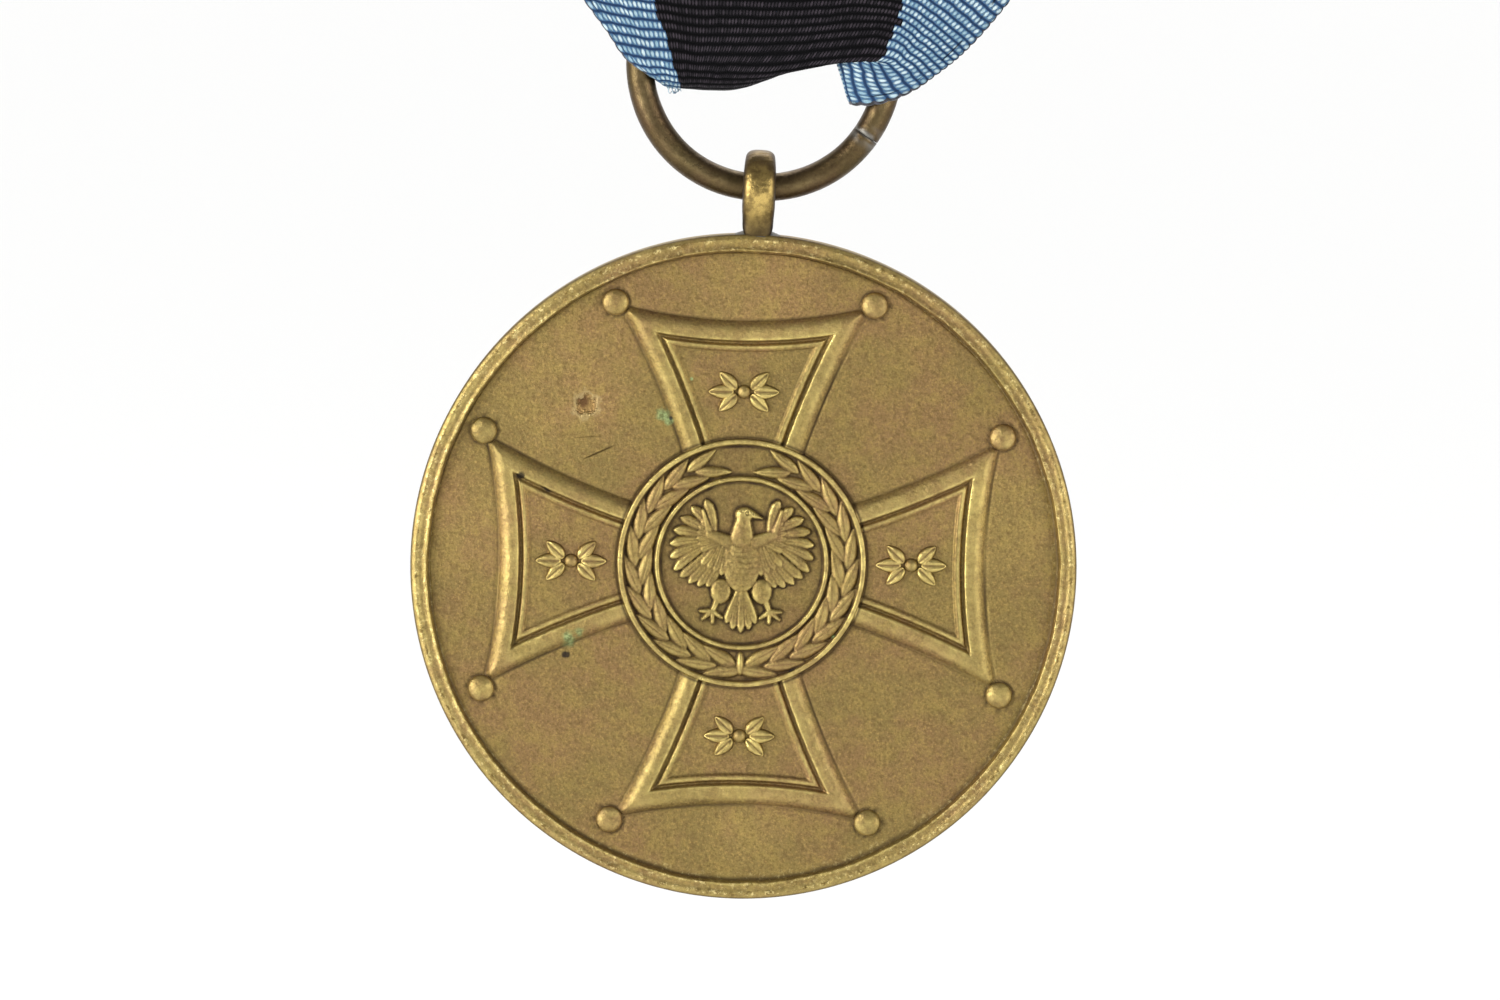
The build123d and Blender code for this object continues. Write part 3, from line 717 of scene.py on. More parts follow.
def make_medallion(n=296):
    a, b = np.meshgrid(np.linspace(-1, 1, n), np.linspace(-1, 1, n))
    # square to disc, even all over
    big = np.maximum(np.abs(a), np.abs(b)) + 1e-12
    f = (big / np.hypot(a, b).clip(1e-12)) ** smooth(0.0, 1.0, big)
    u, v = MED_R * a * f, MED_R * b * f
    h = med_height(u, v)
    local = h - blur(h, 2)
    wide = h - blur(h, 5)
    crest = unit(local / 0.035) * 0.5 + unit(wide / 0.1) * 0.5
    crest *= 0.75 + 0.35 * noise(u, v, 0.35, 23)
    dirt_and_shade = unit(-local / 0.03) * 0.7 * (0.8 + 0.35 * noise(u, v, 0.5, 24))
    low = smooth(0.09, 0.045, h) * (0.6 + 0.4 * noise(u, v, 1.1, 25))
    dirt_and_shade = unit(dirt_and_shade + unit(-wide / 0.07) * 0.2 + 0.22 * low) * (np.hypot(u, v) < 6.26)
    top = to_world(u, v, h).reshape(-1, 3)
    edge = lattice_rim(n, n)
    foot = PLANE_Y - FIELD + 0.2
    under = top[edge].copy()
    under[:, 1] = foot
    verts = np.concatenate([top, under, [[DISC[0] + RELIEF_DX, foot, DISC[2] + RELIEF_DZ]]])
    faces = grid_faces(n, n, wrap=False)
    base, e = n * n, len(edge)
    for i in range(e):
        j = (i + 1) % e
        faces += [[edge[j], edge[i], base + i, base + j], [base + j, base + i, base + e]]
    at = {"crest": padded(crest, e + 1), "dirt_and_shade": padded(dirt_and_shade, e + 1)}
    add_piece("medallion_relief", verts, faces, "medal", "medal_bronze", BRONZE, at)


make_medallion()


def button(u, v, r, height, seed, segs=28, rings=9, place=to_world, tall=1.0):
    """A closed low dome with its flat foot, its crest and its cavity."""
    a = circle(segs)
    t = np.linspace(0, 1, rings)[:, None]
    rho, fall = r * np.sin(t * pi / 2), np.cos(t * pi / 2).clip(0)
    pu, pv = u + rho * np.cos(a), v + tall * rho * np.sin(a)
    pts = place(pu, pv, height * fall**0.8 + 0.02 * noise(pu, pv, 0.35, seed) * fall).reshape(-1, 3)
    foot = place(pu[-1], pv[-1], np.full(segs, -0.2))
    crest = 0.6 * (1 - t) ** 0.5 * (0.6 + 0.5 * noise(pu, pv, 0.3, seed + 1))
    dirt_and_shade = 0.8 * smooth(0.93, 1.0, t) + 0 * a
    faces = grid_faces(rings + 1, segs, flip=True) + [[rings * segs + i for i in range(segs)]]
    return np.concatenate([pts, foot]), faces, padded(crest, segs), padded(dirt_and_shade, segs)


def leaf_mesh(leaf, level, ground=0.07, rows=26, cols=15, place=to_world):
    """A closed raised leaf with a narrow skirt, its rim sunk into the metal round it."""
    x, y, a, long, wide = leaf
    t, s = np.meshgrid(np.linspace(-1, 1, rows), np.linspace(-1.15, 1.15, cols), indexing="ij")
    k, inside = np.clip(t * 1.05, -1, 1), np.minimum(1.0, np.abs(s))
    half = wide * (1 - k**2) ** 0.7 * (1 - 0.3 * k)
    q = half * np.sin(np.clip(s, -1, 1) * pi / 2) + np.sign(s) * np.clip(np.abs(s) - 1, 0, None) / 3
    vein = peak(q, 0, 0.06) * (np.abs(k) < 0.8)
    h = level * (1 - inside**2.4) ** 0.5 * (1 - np.abs(k) ** 4) ** 0.5 * (1 - 0.3 * vein)
    skirt = (np.abs(s) > 1) | (np.abs(t) > 0.96)
    p = long * k + 0.05 * (t - k / 1.05)
    u, v = x + p * cos(a) - q * sin(a), y + p * sin(a) + q * cos(a)
    crest = 0.85 * (1 - inside**3) * (1 - vein) * (np.abs(k) < 0.95)
    dirt_and_shade = 0.9 * skirt + 0.35 * vein * (1 - inside)
    n = rows * cols
    faces = grid_faces(rows, cols, wrap=False, flip=True) + grid_faces(rows, cols, wrap=False, start=n)
    rim = lattice_rim(rows, cols)
    faces += [[p, q, n + q, n + p] for p, q in zip(rim, rim[1:] + rim[:1])]
    verts = np.stack([place(u, v, ground + h - 0.03 * skirt), place(u, v, -0.1)]).reshape(-1, 3)
    return verts, faces, padded(crest, n), padded(dirt_and_shade, n)


def struck_piece(name, parts):
    verts, faces, cr, ca = join(parts)
    return weld(add_piece(name, verts, faces, "medal", "medal_bronze", BRONZE, {"crest": cr, "dirt_and_shade": ca}))


struck_piece("cross_balls", [button(*at, BALL_R, 0.37, 40 + 3 * i, 40, 14) for i, at in enumerate(BALLS)])

# sprays of leaves where the photo's arms have words: their middles, and the leaves beside each
SPRAYS = ((0, 8.5), (8.4, 0), (0, -8.6), (-8.45, 0))
SPRAY_LEAVES = ((1.12, 0.0, 0, 0.66, 0.34), (0.78, 0.54, 44, 0.62, 0.32), (0.78, -0.54, -44, 0.62, 0.32))


def spray(k, u, v):
    parts = [button(u, v, 0.36, 0.4, 90 + k)]
    for s, turn in ((1, 0), (-1, pi)):
        for off, up, deg, long, wide in SPRAY_LEAVES:
            parts.append(leaf_mesh((u + s * off, v + up, radians(deg) * s + turn, long, wide), 0.3))
    return parts


struck_piece("arm_sprays", [part for k, (u, v) in enumerate(SPRAYS) for part in spray(k, u, v)])
# two branches of leaves on the back, tied at the bottom
leaves = wreath_leaves(12.3, 17, 8, 9.6, 20, 1.25, 0.42, 0.55)
tie = button(0.0, -12.3, 0.42, 0.34, 96, place=to_back, tall=2.4)
struck_piece("back_wreath", [*(leaf_mesh(leaf, 0.3, 0.0, 16, 9, to_back) for leaf in leaves), tie])

# -------- split ring, hanging loop, solder

HOLE_R = 0.87
HOLE = np.array([DISC[0], PLANE_Y, l_hi[2] - LOOP_R])


def make_ring(seam=-33.0, gap=0.22, seg=44, steps=300):
    """The wire bent round from one side of its butt joint to the other, its ends chamfered."""
    turn = np.radians(np.linspace(seam + gap / 2, seam + 360 - gap / 2, steps))
    r = RING_R + 0.02 * np.sin(2 * turn + 0.6) + 0.012 * np.sin(5 * turn)
    pts = np.stack([RING[0] + r * np.cos(turn), np.full(steps, PLANE_Y), RING[2] + r * np.sin(turn)], -1)
    radii = WIRE_R * (0.992 + 0.006 * noise(turn * 8, turn * 0, 1.0, 71))
    rows = tube_rows(pts, radii, seg, (0, 1, 0))
    ends = []
    for k, nxt in ((0, 1), (-1, -2)):
        out = (pts[k] - pts[nxt]) / np.linalg.norm(pts[k] - pts[nxt])
        ends.append(rows[k] * 0.93 + pts[k] * 0.07 + out * 0.008)
    rows = [ends[0], *rows, ends[1]]
    verts, faces = closed_rows(rows)
    around = np.tile(circle(seg), len(rows))
    along = np.repeat(np.concatenate([[turn[0]], turn, [turn[-1]]]), seg)
    # painted highlight along the front of the wire, rubbed where the loop slides, grey with solder beside the
    # joint
    front_highlight = peak(around, 1.5 * pi, 0.42) * (0.55 + 0.45 * noise(along * 3, around, 0.6, 72))
    seat = peak(along, radians(270), 0.2) * unit(np.cos(around)) * 0.5
    near = np.minimum(np.abs(along - turn[0]), np.abs(along - turn[-1]))
    dirt_and_shade = 0.5 * peak(near, 0, 0.006) + 0.25 * unit(noise(along * 5, around, 0.5, 73))
    grey = peak(near, 0, 0.06) * unit(0.6 + noise(along * 40, around * 2, 1.2, 74))
    at = {"crest": unit(front_highlight * 0.7 + seat), "dirt_and_shade": unit(dirt_and_shade), "grey": grey}
    return add_piece("split_ring", verts, faces, "ring", "ring_bronze", WIRE, at)


def make_loop(turns=150, seg=56):
    """A band of half-round section bent round the hole and drawn down into the disc's edge."""
    a, b = circle(turns)[:, None], circle(seg)
    c, s = np.cos(b), np.sin(b)
    off = np.abs((a - 0.5 * pi) % (2 * pi) - pi)
    foot = smooth(0.9, 0.35, off)
    neck = np.where(off < pi / 2, 1.12 / np.sin(off.clip(0.05)), 0.0)
    outer = (LOOP_R**6 + neck**6) ** (1 / 6)
    down = HOLE[2] - (DISC[2] + DISC_R) + 0.25
    outer = np.where(off < 1.2, np.minimum(outer, down / np.cos(off)), outer)
    mid, half = (outer + HOLE_R) / 2, (outer - HOLE_R) / 2
    # flat towards the hole, domed outside
    x = LOOP_HALF_W * (1 - 0.06 * foot - 0.1 * np.sin(a).clip(0) ** 3) * np.sign(s) * np.abs(s) ** 0.72
    rad = mid + half * np.sign(c) * np.abs(c) ** np.where(c > 0, 0.72, 0.32)
    rad = rad + 0.012 * noise(x + 9 * a, rad * 2, 0.5, 81) * (c > 0)
    verts = HOLE + np.stack([x, rad * np.cos(a), rad * np.sin(a)], -1).reshape(-1, 3)
    # painted highlight: the crest is strongest on the band's front
    facet = c.clip(0) ** 2.2
    front = peak((a - 0.06 * pi) % (2 * pi), pi, 0.6)
    crest = facet * (0.25 + 0.9 * front) * (0.9 + 0.25 * noise(x * 2, rad + 2 * a, 0.3, 82))
    # painted shade: darker along the band's sides and at its foot where it meets the disc
    dirt_and_shade = 0.8 * (1 - np.abs(c) * 1.25).clip(0) + 0.85 * foot * (1 - facet * 0.25)
    # the last row joins the first
    faces = (np.array(grid_faces(turns + 1, seg)) % (turns * seg)).tolist()
    at = {"crest": crest.clip(0, 1).ravel(), "dirt_and_shade": dirt_and_shade.clip(0, 1).ravel()}
    return weld(add_piece("hanging_eye", verts, faces, "medal", "medal_bronze", EYE_BRONZE, at))


def make_solder(seg=72, rings=14):
    """An uneven fillet of solder round the loop's foot, on the disc's edge."""
    c, s = np.cos(circle(seg)), np.sin(circle(seg))
    t = np.linspace(0, 1, rings)[:, None]
    spread = smooth(0, 1, t) ** 0.8
    lump = 1 + 0.05 * noise(c * 2 + 5, s * 2 + t, 0.6, 91)
    x = (LOOP_HALF_W * 0.55 + (1.34 - LOOP_HALF_W * 0.55) * spread) * np.sign(c) * np.abs(c) ** 0.55 * lump
    y = (0.65 + 0.52 * spread) * np.sign(s) * np.abs(s) ** 0.55 * lump
    # the disc's edge falls away to the sides
    z = DISC[2] + np.sqrt(DISC_R**2 - x**2) + 0.3 * (1 - t) ** 1.6 - 0.09 * t
    rows = np.stack([DISC[0] + x, PLANE_Y + y, z], -1)
    rows = [*rows, rows[-1] - np.array([0, 0, 0.12])]
    return weld(add_piece("solder_fillet", *closed_rows(rows, flip=True), "medal", "solder", SOLDER))


split_ring = make_ring()
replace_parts(split_ring, "suspension_ring")
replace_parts(make_loop(), "suspension_loop")
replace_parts(make_solder(), "loop_solder")

# -------- ribbon

HALF_W = 16.5
CLOTH_T = 0.3
RIB = 0.49  # from one rib to the next, along the ribbon
THREAD_PITCH = 0.23  # from one lengthwise thread to the next
STRIPE = 8.3  # half the dark stripe's width on the flat ribbon
BACK_Y = 1.2  # middle of each layer from the ribbon's middle plane
LAP_Y = BACK_Y + 0.42  # middle of the lapped end
RING_UP = np.array([0, 0, RING[2]])

# Lengthwise threads of the ribbon, by their place across its width, and where they run on the front: x of
# each, y from the ribbon's middle plane, z from the ring's centre. The cloth draws together for the ring.
THREADS = np.array((-HALF_W, -13.0, -8.25, 0.0, 8.25, 12.4, HALF_W))
FRONT = (
    ((-16.5, -13, -8.25, 0, 8.25, 12.4, 16.5), -1.2, (23, 23, 23, 23, 23, 22.8, 22.4)),
    ((-16.4, -13, -8.25, 0, 8.25, 12.3, 16.3), -1.2, (17.3, 17.1, 17, 17, 17, 16.2, 15.1)),
    ((-13.8, -11.8, -7.7, 0.3, 7.95, 11.4, 14.15), (-1.1, -1.15, -1.2, -1.2, -1.2, -1.2, -1.15),
     (10.5, 10.3, 10, 10, 10, 8.9, 7.5)),
    ((-10.2, -8.85, -5.9, 0.4, 6.75, 8.6, 9.95), (-1.0, -1.1, -1.2, -1.22, -1.22, -1.2, -1.14),
     (4.4, 4.1, 3.5, 3.4, 3.5, 2.45, 1.25)),
    ((-7.8, -6.85, -4.95, 0.2, 6.2, 7.4, 8.45), (-1.12, -1.17, -1.22, -1.24, -1.24, -1.24, -1.18),
     (1.35, 1.2, 1.05, 1.05, 1.55, 0.75, -0.1)),
    ((-6.65, -5.9, -4.5, -0.5, 5.67, 6.6, 7.35), (-1.12, -1.2, -1.24, -1.2, -1.24, -1.26, -1.22),
     (-0.05, -0.25, -0.35, -0.35, 0.46, -0.1, -0.9)),
    ((-5.6, -5.25, -4.25, -0.8, 4.95, 5.7, 6.4), (-0.95, -1.0, -1.05, -0.95, -1.1, -1.22, -1.2),
     (-0.68, -0.78, -0.85, -0.75, 0.64, -0.45, -1.38)),
    ((-5.0, -4.85, -4.15, -1.0, 4.15, 4.85, 5.4), (-0.5, -0.5, -0.5, -0.5, -0.95, -1.1, -1.1),
     (-1.04, -1.12, -1.16, -1.0, 0.85, -0.38, -1.66)),
)
# where the threads turn back, at the very bottom of the fold
FOLD = ((-4.9, -4.75, -4.1, -1.1, 3.6, 4.15, 4.6), (0, 0, 0, 0, -0.6, -0.6, -0.6),
        (-1.14, -1.2, -1.2, -1.05, 1.02, -0.3, -1.72))


def ribbon_stations():
    """Every crossing line of the ribbon, its inner end first, in mm, and the number of the first in FRONT."""
    lines = []

    def straight(y, z):
        lines.append(np.stack([THREADS, np.full(7, y), np.full(7, z)], -1))

    z_fold = TOP_Z - BACK_Y - CLOTH_T / 2 - 0.02
    for z in (-11.5, -6.0, 0.0, z_fold):
        straight(BACK_Y, z)
    for deg in (45, 90, 135):
        a = radians(deg)
        straight(BACK_Y * cos(a), z_fold + BACK_Y * sin(a))
    for z in (z_fold, 0.0, -6.0, -12.0):
        straight(-BACK_Y, z)
    first = len(lines)
    front = [np.stack(np.broadcast_arrays(*row), -1) for row in FRONT]
    lines += [row + RING_UP for row in (*front, np.stack(np.broadcast_arrays(*FOLD), -1))]
    # the back layer: what was to the right of the pleat passes behind it
    for k, r in enumerate(front[::-1]):
        tight = max(0.0, 1 - k / 4)
        r[4:, 0] = r[4:, 0] * (1 - 0.12 * tight) - 0.3 * tight
        r[:, 1] = np.abs(r[:, 1])
        r[4:, 1] = np.where(k < 1, 0.1, r[4:, 1])
        r[:, 0] *= 0.985
        lines.append(r + RING_UP)
    for z, y in ((-17.0, BACK_Y), (-13.4, BACK_Y), (-12.0, BACK_Y + 0.38), (-10.5, LAP_Y), (-4.6, LAP_Y)):
        straight(y, z)
    return np.array(lines), first


def hermite(knots, values, at):
    """Smooth curve through values at knots, along the first axis."""
    shape = (-1, *([1] * (values.ndim - 1)))
    d = np.diff(knots)
    slope = np.diff(values, axis=0) / d.reshape(shape)
    m = np.empty_like(values)
    m[0], m[-1] = slope[0], slope[-1]
    w = (d[1:] / (d[1:] + d[:-1])).reshape(shape)
    m[1:-1] = slope[:-1] * w + slope[1:] * (1 - w)
    i = np.clip(np.searchsorted(knots, at, side="right") - 1, 0, len(knots) - 2)
    h = d[i]
    t = ((at - knots[i]) / h).reshape(shape)
    h = h.reshape(shape)
    e = t**2 * (3 - 2 * t)
    return (1 - e) * values[i] + e * values[i + 1] + t * (1 - t) * h * ((1 - t) * m[i] - t * m[i + 1])


def warp_place(pts, s, rib_no):
    """Each vertex's place across its rib, mm: true length outside the stripe, so threads keep their size."""
    step = np.linalg.norm(np.diff(pts, axis=1), axis=2)
    arc = np.concatenate([np.zeros((len(pts), 1)), np.cumsum(step, axis=1)], axis=1)
    place = np.empty_like(arc)
    for k in np.unique(rib_no):
        rows = rib_no == k
        a = arc[rows].mean(0)
        a = a - np.interp(0, s, a)
        edge = np.where(s > 0, np.interp(STRIPE, s, a), -np.interp(-STRIPE, s, a))
        beyond = np.sign(s) * (STRIPE + np.abs(a) - edge)
        place[rows] = np.where(np.abs(s) < STRIPE, STRIPE * a / edge, beyond)
    return place


def make_ribbon(cols=76):
    """The ribbed band, the dark thread of its edges and its frayed corner; gives the band and its length."""
    stations, first = ribbon_stations()
    seg = np.linalg.norm(np.diff(stations, axis=0), axis=2)
    knots = np.concatenate([[0], np.cumsum(np.clip(seg.mean(1), 0.25, None))])
    fold = knots[first + len(FRONT)]
    s = np.linspace(-HALF_W, HALF_W, cols)
    across = hermite(THREADS, stations.transpose(1, 0, 2), s).transpose(1, 0, 2)
    # rows: eight to a rib near the ring on the front, four elsewhere
    near = knots[first + 2]
    rows = [0.0]
    while rows[-1] < knots[-1] - 0.01:
        rows.append(rows[-1] + RIB / (8 if near - 1 < rows[-1] < fold + 0.8 else 4))
    t = np.array([*rows[:-1], knots[-1]])
    n = len(t)
    ts, ss = np.repeat(t[:, None], cols, 1), np.repeat(s[None, :], n, 0)
    wave = 0.09 * noise(ss, ts, 3.1, 51) + 0.05 * noise(ss * 2, ts, 1.4, 52)
    wave *= smooth(0, 2, ts) * smooth(knots[-1], knots[-1] - 2, ts)
    # place each vertex along its own thread
    moved = np.clip(ts + wave, 0, knots[-1])
    pts = np.stack([hermite(knots, across[:, c], moved[:, c]) for c in range(cols)], 1)
    du = np.gradient(pts, axis=1)
    nrm = np.cross(du, np.gradient(pts, axis=0))
    nrm /= np.linalg.norm(nrm, axis=2)[..., None] + 1e-12
    if nrm[n // 3, cols // 2, 1] > 0:
        nrm = -nrm
    rib = np.abs(np.sin((ts / RIB) % 1.0 * pi)) ** 0.6
    relief = 0.085 * rib * (0.35 + 0.65 * smooth(HALF_W, 16.2, np.abs(ss))) - 0.04
    relief = relief + 0.035 * noise(ss, ts, 2.3, 53) * smooth(0, 3, ts)
    outer = pts + nrm * (CLOTH_T / 2 + relief)[..., None]
    # the selvedge bulges at each rib
    outward = np.sign(ss)[..., None] * du / (np.linalg.norm(du, axis=2)[..., None] + 1e-12)
    outer += outward * (0.05 * rib * (np.abs(ss) > 16.3))[..., None]
    inner_rows = [*range(0, n - 1, 4), n - 1]
    inner = pts[inner_rows] - nrm[inner_rows] * (CLOTH_T / 2)
    plane = np.array([0, PLANE_Y, 0])
    verts = np.concatenate([outer.reshape(-1, 3), inner.reshape(-1, 3)]) + plane
    base, m = n * cols, len(inner_rows)
    faces = grid_faces(n, cols, wrap=False) + grid_faces(m, cols, wrap=False, start=base, flip=True)
    for j in range(m - 1):
        a, b = inner_rows[j], inner_rows[j + 1]
        low, high = base + j * cols, base + (j + 1) * cols
        faces.append([r * cols for r in range(a, b + 1)] + [high, low])
        faces.append([r * cols + cols - 1 for r in range(b, a - 1, -1)] + [low + cols - 1, high + cols - 1])
    last = base + (m - 1) * cols
    for c in range(cols - 1):
        faces.append([c + 1, c, base + c, base + c + 1])
        faces.append([(n - 1) * cols + c, (n - 1) * cols + c + 1, last + c + 1, last + c])
    warp = warp_place(pts, s, np.floor(t / RIB + 1e-6))
    at = {
        name: np.concatenate([values.ravel(), values[inner_rows].ravel()])
        for name, values in (("across", ss), ("along", ts), ("warp", warp))
    }
    obj = add_piece("ribbon_band", verts, faces, "ribbon_and_brooch", "ribbon_cloth", CLOTH, at)
    # a dark thread loops round the rib ends of both selvedges near the ring
    loops = []
    pick = np.flatnonzero((t > near) & (t < fold + 0.6))
    for c in (0, cols - 1):
        path = pts[pick, c] + outward[pick, c] * (0.06 * rib[pick, c] ** 1.5)[:, None]
        path += nrm[pick, c] * 0.06 + plane
        thick = 0.05 + 0.05 * smooth(knots[first + 4], knots[first + 6], t[pick])
        loops.append(tube(path, thick, 8, nrm[pick, c]))
    add_piece("selvedge_thread", *join(loops), "ribbon_and_brooch", "thread", THREAD)
    # the fold's left corner has frayed
    corner = pts[np.argmin(np.abs(t - fold)), 3] + plane
    hairs = []
    w = np.linspace(0, 1, 14)
    for i in range(16):
        turn = 2.4 * i
        x = 0.1 + 0.045 * i + 0.16 * np.sin(w * (3.2 + 0.5 * sin(turn)) + turn) * w
        z = 0.12 - (0.42 + 0.2 * sin(1.7 * turn)) * np.sin(w * 2.2)
        y = -0.32 - 0.1 * cos(turn) - 0.1 * np.cos(w * 3 + turn)
        hairs.append(tube(corner + np.stack([x, y, z], -1), 0.03 - 0.012 * w, 6, (0, 1, 0.2)))
    add_piece("frayed_corner", *join(hairs), "ribbon_and_brooch", "ribbon_cloth", FRAY)
    return obj, knots[-1]


def cloth_material():
    m = material("ribbon_cloth")
    s, t = m.attr("across"), m.attr("along")
    rib = m.math("DIVIDE", t, RIB)
    rib_no, phase = m.math("FLOOR", rib), m.math("FRACT", rib)
    cord = m.math("SINE", m.mul(phase, pi))
    odd = m.mul(m.math("MODULO", rib_no, 2.0), 0.5)
    thread = m.add(m.math("DIVIDE", m.attr("warp"), THREAD_PITCH), odd)
    # serrated stripe edges: whole threads change colour, one rib to the next
    jitter = m.node("TexWhiteNoise", {"W": rib_no}, noise_dimensions="1D").outputs["Value"]
    edge = m.math("ABSOLUTE", m.mul(m.math("FLOOR", thread), THREAD_PITCH))
    light = m.math("GREATER_THAN", m.add(edge, m.mul(jitter, 0.3)), STRIPE)
    # where a lengthwise thread passes over a rib it is a plump slanting bead
    lean = m.add(thread, m.mul(phase, 0.4))
    bx = m.mul(m.sub(m.math("FRACT", lean), 0.5), 2.0)
    by = m.mul(m.sub(phase, 0.5), 2.0)
    bead = m.ramp(m.add(m.mul(bx, bx), m.mul(m.mul(by, by), 1.5)), 0.12, 0.95, 1.0, 0.0)
    own = m.node("CombineXYZ", {0: m.math("FLOOR", lean), 1: rib_no}).outputs[0]
    each = m.node("TexWhiteNoise", {"Vector": own}, noise_dimensions="2D").outputs["Value"]
    vary = m.add(m.mul(each, 0.5), m.mul(m.noise(500, 4, 0.6), 0.5))
    shadow = m.ramp(cord, 0.2, 0.66)
    pale = m.mix(m.ramp(vary, 0.2, 0.8), rgb(130, 162, 178), rgb(190, 209, 214))
    blue = m.mix(bead, m.mix(shadow, rgb(34, 54, 84), rgb(70, 104, 138)), pale)
    # painted sheen: the black stripe's beads are grey on top
    bead_sheen = m.mix(m.ramp(vary, 0.25, 0.8), rgb(26, 23, 27), rgb(56, 50, 56))
    dark = m.mix(bead, m.mix(shadow, rgb(1, 1, 2), rgb(6, 5, 8)), bead_sheen)
    # the catch thread that holds the weft loops shows here and there inside the selvedge
    run = {"W": m.mul(t, 0.3), "Scale": 1.0}
    run = m.node("TexNoise", run, noise_dimensions="1D").outputs["Fac"]
    offset = m.math("ABSOLUTE", m.sub(m.math("ABSOLUTE", s), 15.55))
    catch = m.mul(m.ramp(offset, 0.05, 0.13, 0.85, 0), m.ramp(run, 0.46, 0.56))
    colour = m.mix(catch, m.mix(light, dark, blue), rgb(14, 20, 34))
    normal = m.bump(m.add(bead, m.mul(cord, 0.4)), 0.9, 0.00009)
    normal = m.bump(m.noise(14000, 3, 0.6), 0.25, 0.00002, normal)
    rough = m.ramp(bead, 0, 1, 0.8, 0.5)
    matt = {"Sheen_Weight": 0.02, "Sheen_Roughness": 0.4, "Specular_IOR_Level": 0.1}
    return m.surface(colour, rough, 0.0, normal, **matt)


def thread_material(name, low, high, sheen=0.3):
    """Thread of two plies."""
    m = material(name)
    feed = {"Vector": m.coords(), "Scale": 1300, "Distortion": 1.5}
    ply = m.node("TexWave", feed, wave_type="BANDS", bands_direction="DIAGONAL").outputs["Fac"]
    rough = m.ramp(m.noise(6000, 4, 0.6), 0.3, 0.7, 0.6, 0.85)
    colour = m.mix(m.ramp(ply, 0.2, 0.8), low, high)
    return m.surface(colour, rough, 0.0, m.bump(ply, 0.7, 0.00006), Sheen_Weight=sheen)


CLOTH = cloth_material()
THREAD = thread_material("sewing_thread", rgb(16, 16, 22), rgb(50, 50, 60))
FRAY = thread_material("frayed_warp", rgb(84, 110, 132), rgb(170, 190, 200), 0.1)
ribbon, ribbon_length = make_ribbon()
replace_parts(ribbon, "ribbon")


def make_hem():
    """Two rows of running stitches through the lapped end, each a thread that dips into the cloth."""
    top = LAP_Y + CLOTH_T / 2
    w = np.linspace(-1, 1, 17)
    parts = []
    for z in (-5.6, -10.4):
        for i in range(11):
            x = -13.5 + 2.7 * i + 0.72 * w
            y = PLANE_Y + top - 0.1 + 0.26 * (1 - np.abs(w) ** 4)
            slant = 0.06 * sin(3.1 * i + z)
            parts.append(tube(np.stack([x, y, z + slant * w], -1), np.full(17, 0.12), 10, (0, 0, 1)))
    return add_piece("hem_threads", *join(parts), "ribbon_and_brooch", "thread", THREAD)


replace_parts(make_hem(), "hem_stitches")

# -------- brooch: materials on the CAD shapes


def metal(name, colour, dark, rough, scale=900, streak=None, metallic=0.95, bump_mm=0.04):
    """Stained plain metal; streak is the scale of its drawn or rolled lines along each axis."""
    m = material(name)
    fine = m.noise(scale * 2.4, 4, 0.6)
    base = m.mix(m.ramp(m.noise(scale * 0.35, 5, 0.62), 0.42, 0.72, 0, 0.75), colour, dark)
    base = m.mix(m.ramp(fine, 0.55, 0.75, 0, 0.4), base, dark)
    lines = m.noise(1.0, 3, 0.5, vector=m.scaled(streak)) if streak else fine
    rough = m.ramp(lines, 0.3, 0.7, rough - 0.07, rough + 0.09)
    return m.surface(base, rough, metallic, m.bump(lines, 0.35, bump_mm * MM))


BRASS = metal("brooch_brass", rgb(176, 148, 92), rgb(92, 70, 38), 0.38, streak=(300, 300, 9000))
STEEL = metal("pin_steel", rgb(176, 176, 172), rgb(110, 104, 94), 0.3, 900, (300, 2600, 2600), bump_mm=0.012)
DARK_BRASS = metal("bracket_brass", rgb(158, 130, 78), rgb(70, 52, 28), 0.42, scale=1400)
BOARD = metal("stiffener_card", rgb(150, 140, 120), rgb(110, 100, 84), 0.8, metallic=0.0, bump_mm=0.12)
for node, look in (
    ("brooch_plate", BRASS), ("pin_bracket", DARK_BRASS), ("hinge_rivet", STEEL), ("pin_stem", STEEL),
    ("pin_catch", DARK_BRASS), ("stiffener_bar", BOARD), ("plate_stitches", THREAD),
):
    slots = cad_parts[node].data.materials
    slots.clear()
    slots.append(look)

# -------- camera, light, floor

CAM_EL, CAM_ROLL, CAM_DIST = radians(4.0), radians(2.4), 450.0
# how many mm the picture is wide at the disc, and its middle, right of and above the disc's centre
VIEW_W = 74.257
AIM_RIGHT, AIM_UP = 0.327, 3.351
FLOOR_DOWN, FLOOR_R = 40, 9000  # below the disc, and its radius, mm


def place(name, data):
    """An object in the scene that holds this data."""
    obj = bpy.data.objects.new(name, data)
    bpy.context.scene.collection.objects.link(obj)
    return obj


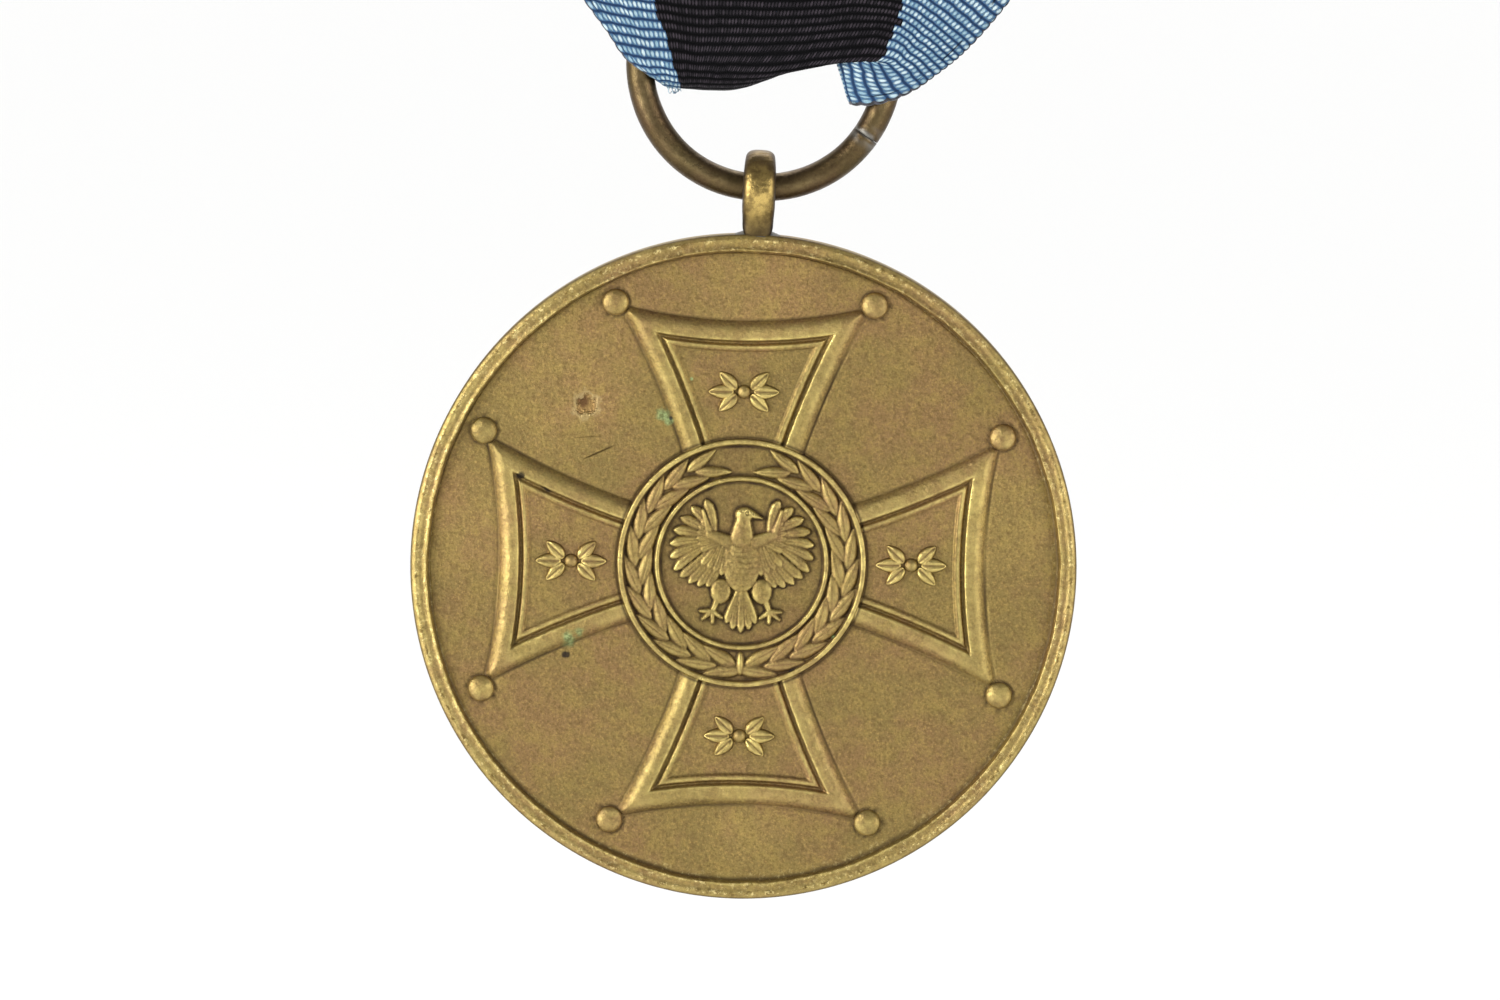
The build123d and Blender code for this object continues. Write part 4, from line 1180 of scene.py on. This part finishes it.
def make_camera():
    cam = bpy.data.cameras.new("camera")
    cam.sensor_width = 36
    cam.lens = cam.sensor_width * CAM_DIST / VIEW_W
    cam.clip_start, cam.clip_end = 0.01, 30
    rot = Matrix.Rotation(pi / 2 - CAM_EL, 4, "X") @ Matrix.Rotation(CAM_ROLL, 4, "Z")
    eye = Vector((DISC[0], PLANE_Y - 1.2, DISC[2])) + rot @ Vector((AIM_RIGHT, AIM_UP, CAM_DIST))
    obj = place("camera", cam)
    obj.matrix_world = Matrix.Translation(eye * MM) @ rot
    bpy.context.scene.camera = obj


def area(name, loc, power, size=(0.22, 0.4)):
    """A soft lamp aimed at the disc; metres."""
    lamp = bpy.data.lights.new(name, "AREA")
    lamp.shape = "RECTANGLE"
    lamp.size, lamp.size_y = size
    lamp.energy = power
    obj = place(name, lamp)
    obj.location = loc
    obj.rotation_mode = "QUATERNION"
    obj.rotation_quaternion = (Vector(loc) - Vector(DISC) * MM).to_track_quat("Z", "Y")


def make_floor(n=64):
    mesh = bpy.data.meshes.new("floor")
    z = DISC[2] - DISC_R - FLOOR_DOWN
    turn = [2 * pi * i / n for i in range(n)]
    rim = [(FLOOR_R * cos(a) * MM, FLOOR_R * sin(a) * MM, z * MM) for a in turn]
    mesh.from_pydata(rim, [], [list(range(n))])
    pale = material("floor_pale").surface((0.86, 0.86, 0.855, 1), 0.9, Specular_IOR_Level=0.1)
    mesh.materials.append(pale)
    floor_obj = place("floor", mesh)


def make_sky():
    """White light from all round, weaker from the side away from the camera, and a wide soft sun."""
    bpy.context.scene.world = bpy.data.worlds.new("world")
    w = Nodes(bpy.context.scene.world)
    axes = w.node("SeparateXYZ", {0: w.node("TexCoord").outputs["Generated"]})
    strength = w.ramp(axes.outputs["Y"], -0.35, 0.5, 0.3, 1.0)
    sky = w.node("Background", {"Color": (1, 1, 1, 1), "Strength": strength})
    w.node("OutputWorld", {0: sky.outputs[0]})
    sun = bpy.data.lights.new("sky_sun", "SUN")
    sun.energy = 1.8
    sun.angle = radians(60)
    place("sky_sun", sun).rotation_euler = (radians(-25), 0, 0)


make_camera()
area("key_left", (-0.45, -0.34, -0.04), 4.2)
area("key_right", (0.45, -0.30, -0.04), 1.7)
make_floor()
make_sky()
bpy.context.scene.view_settings.view_transform = "Standard"
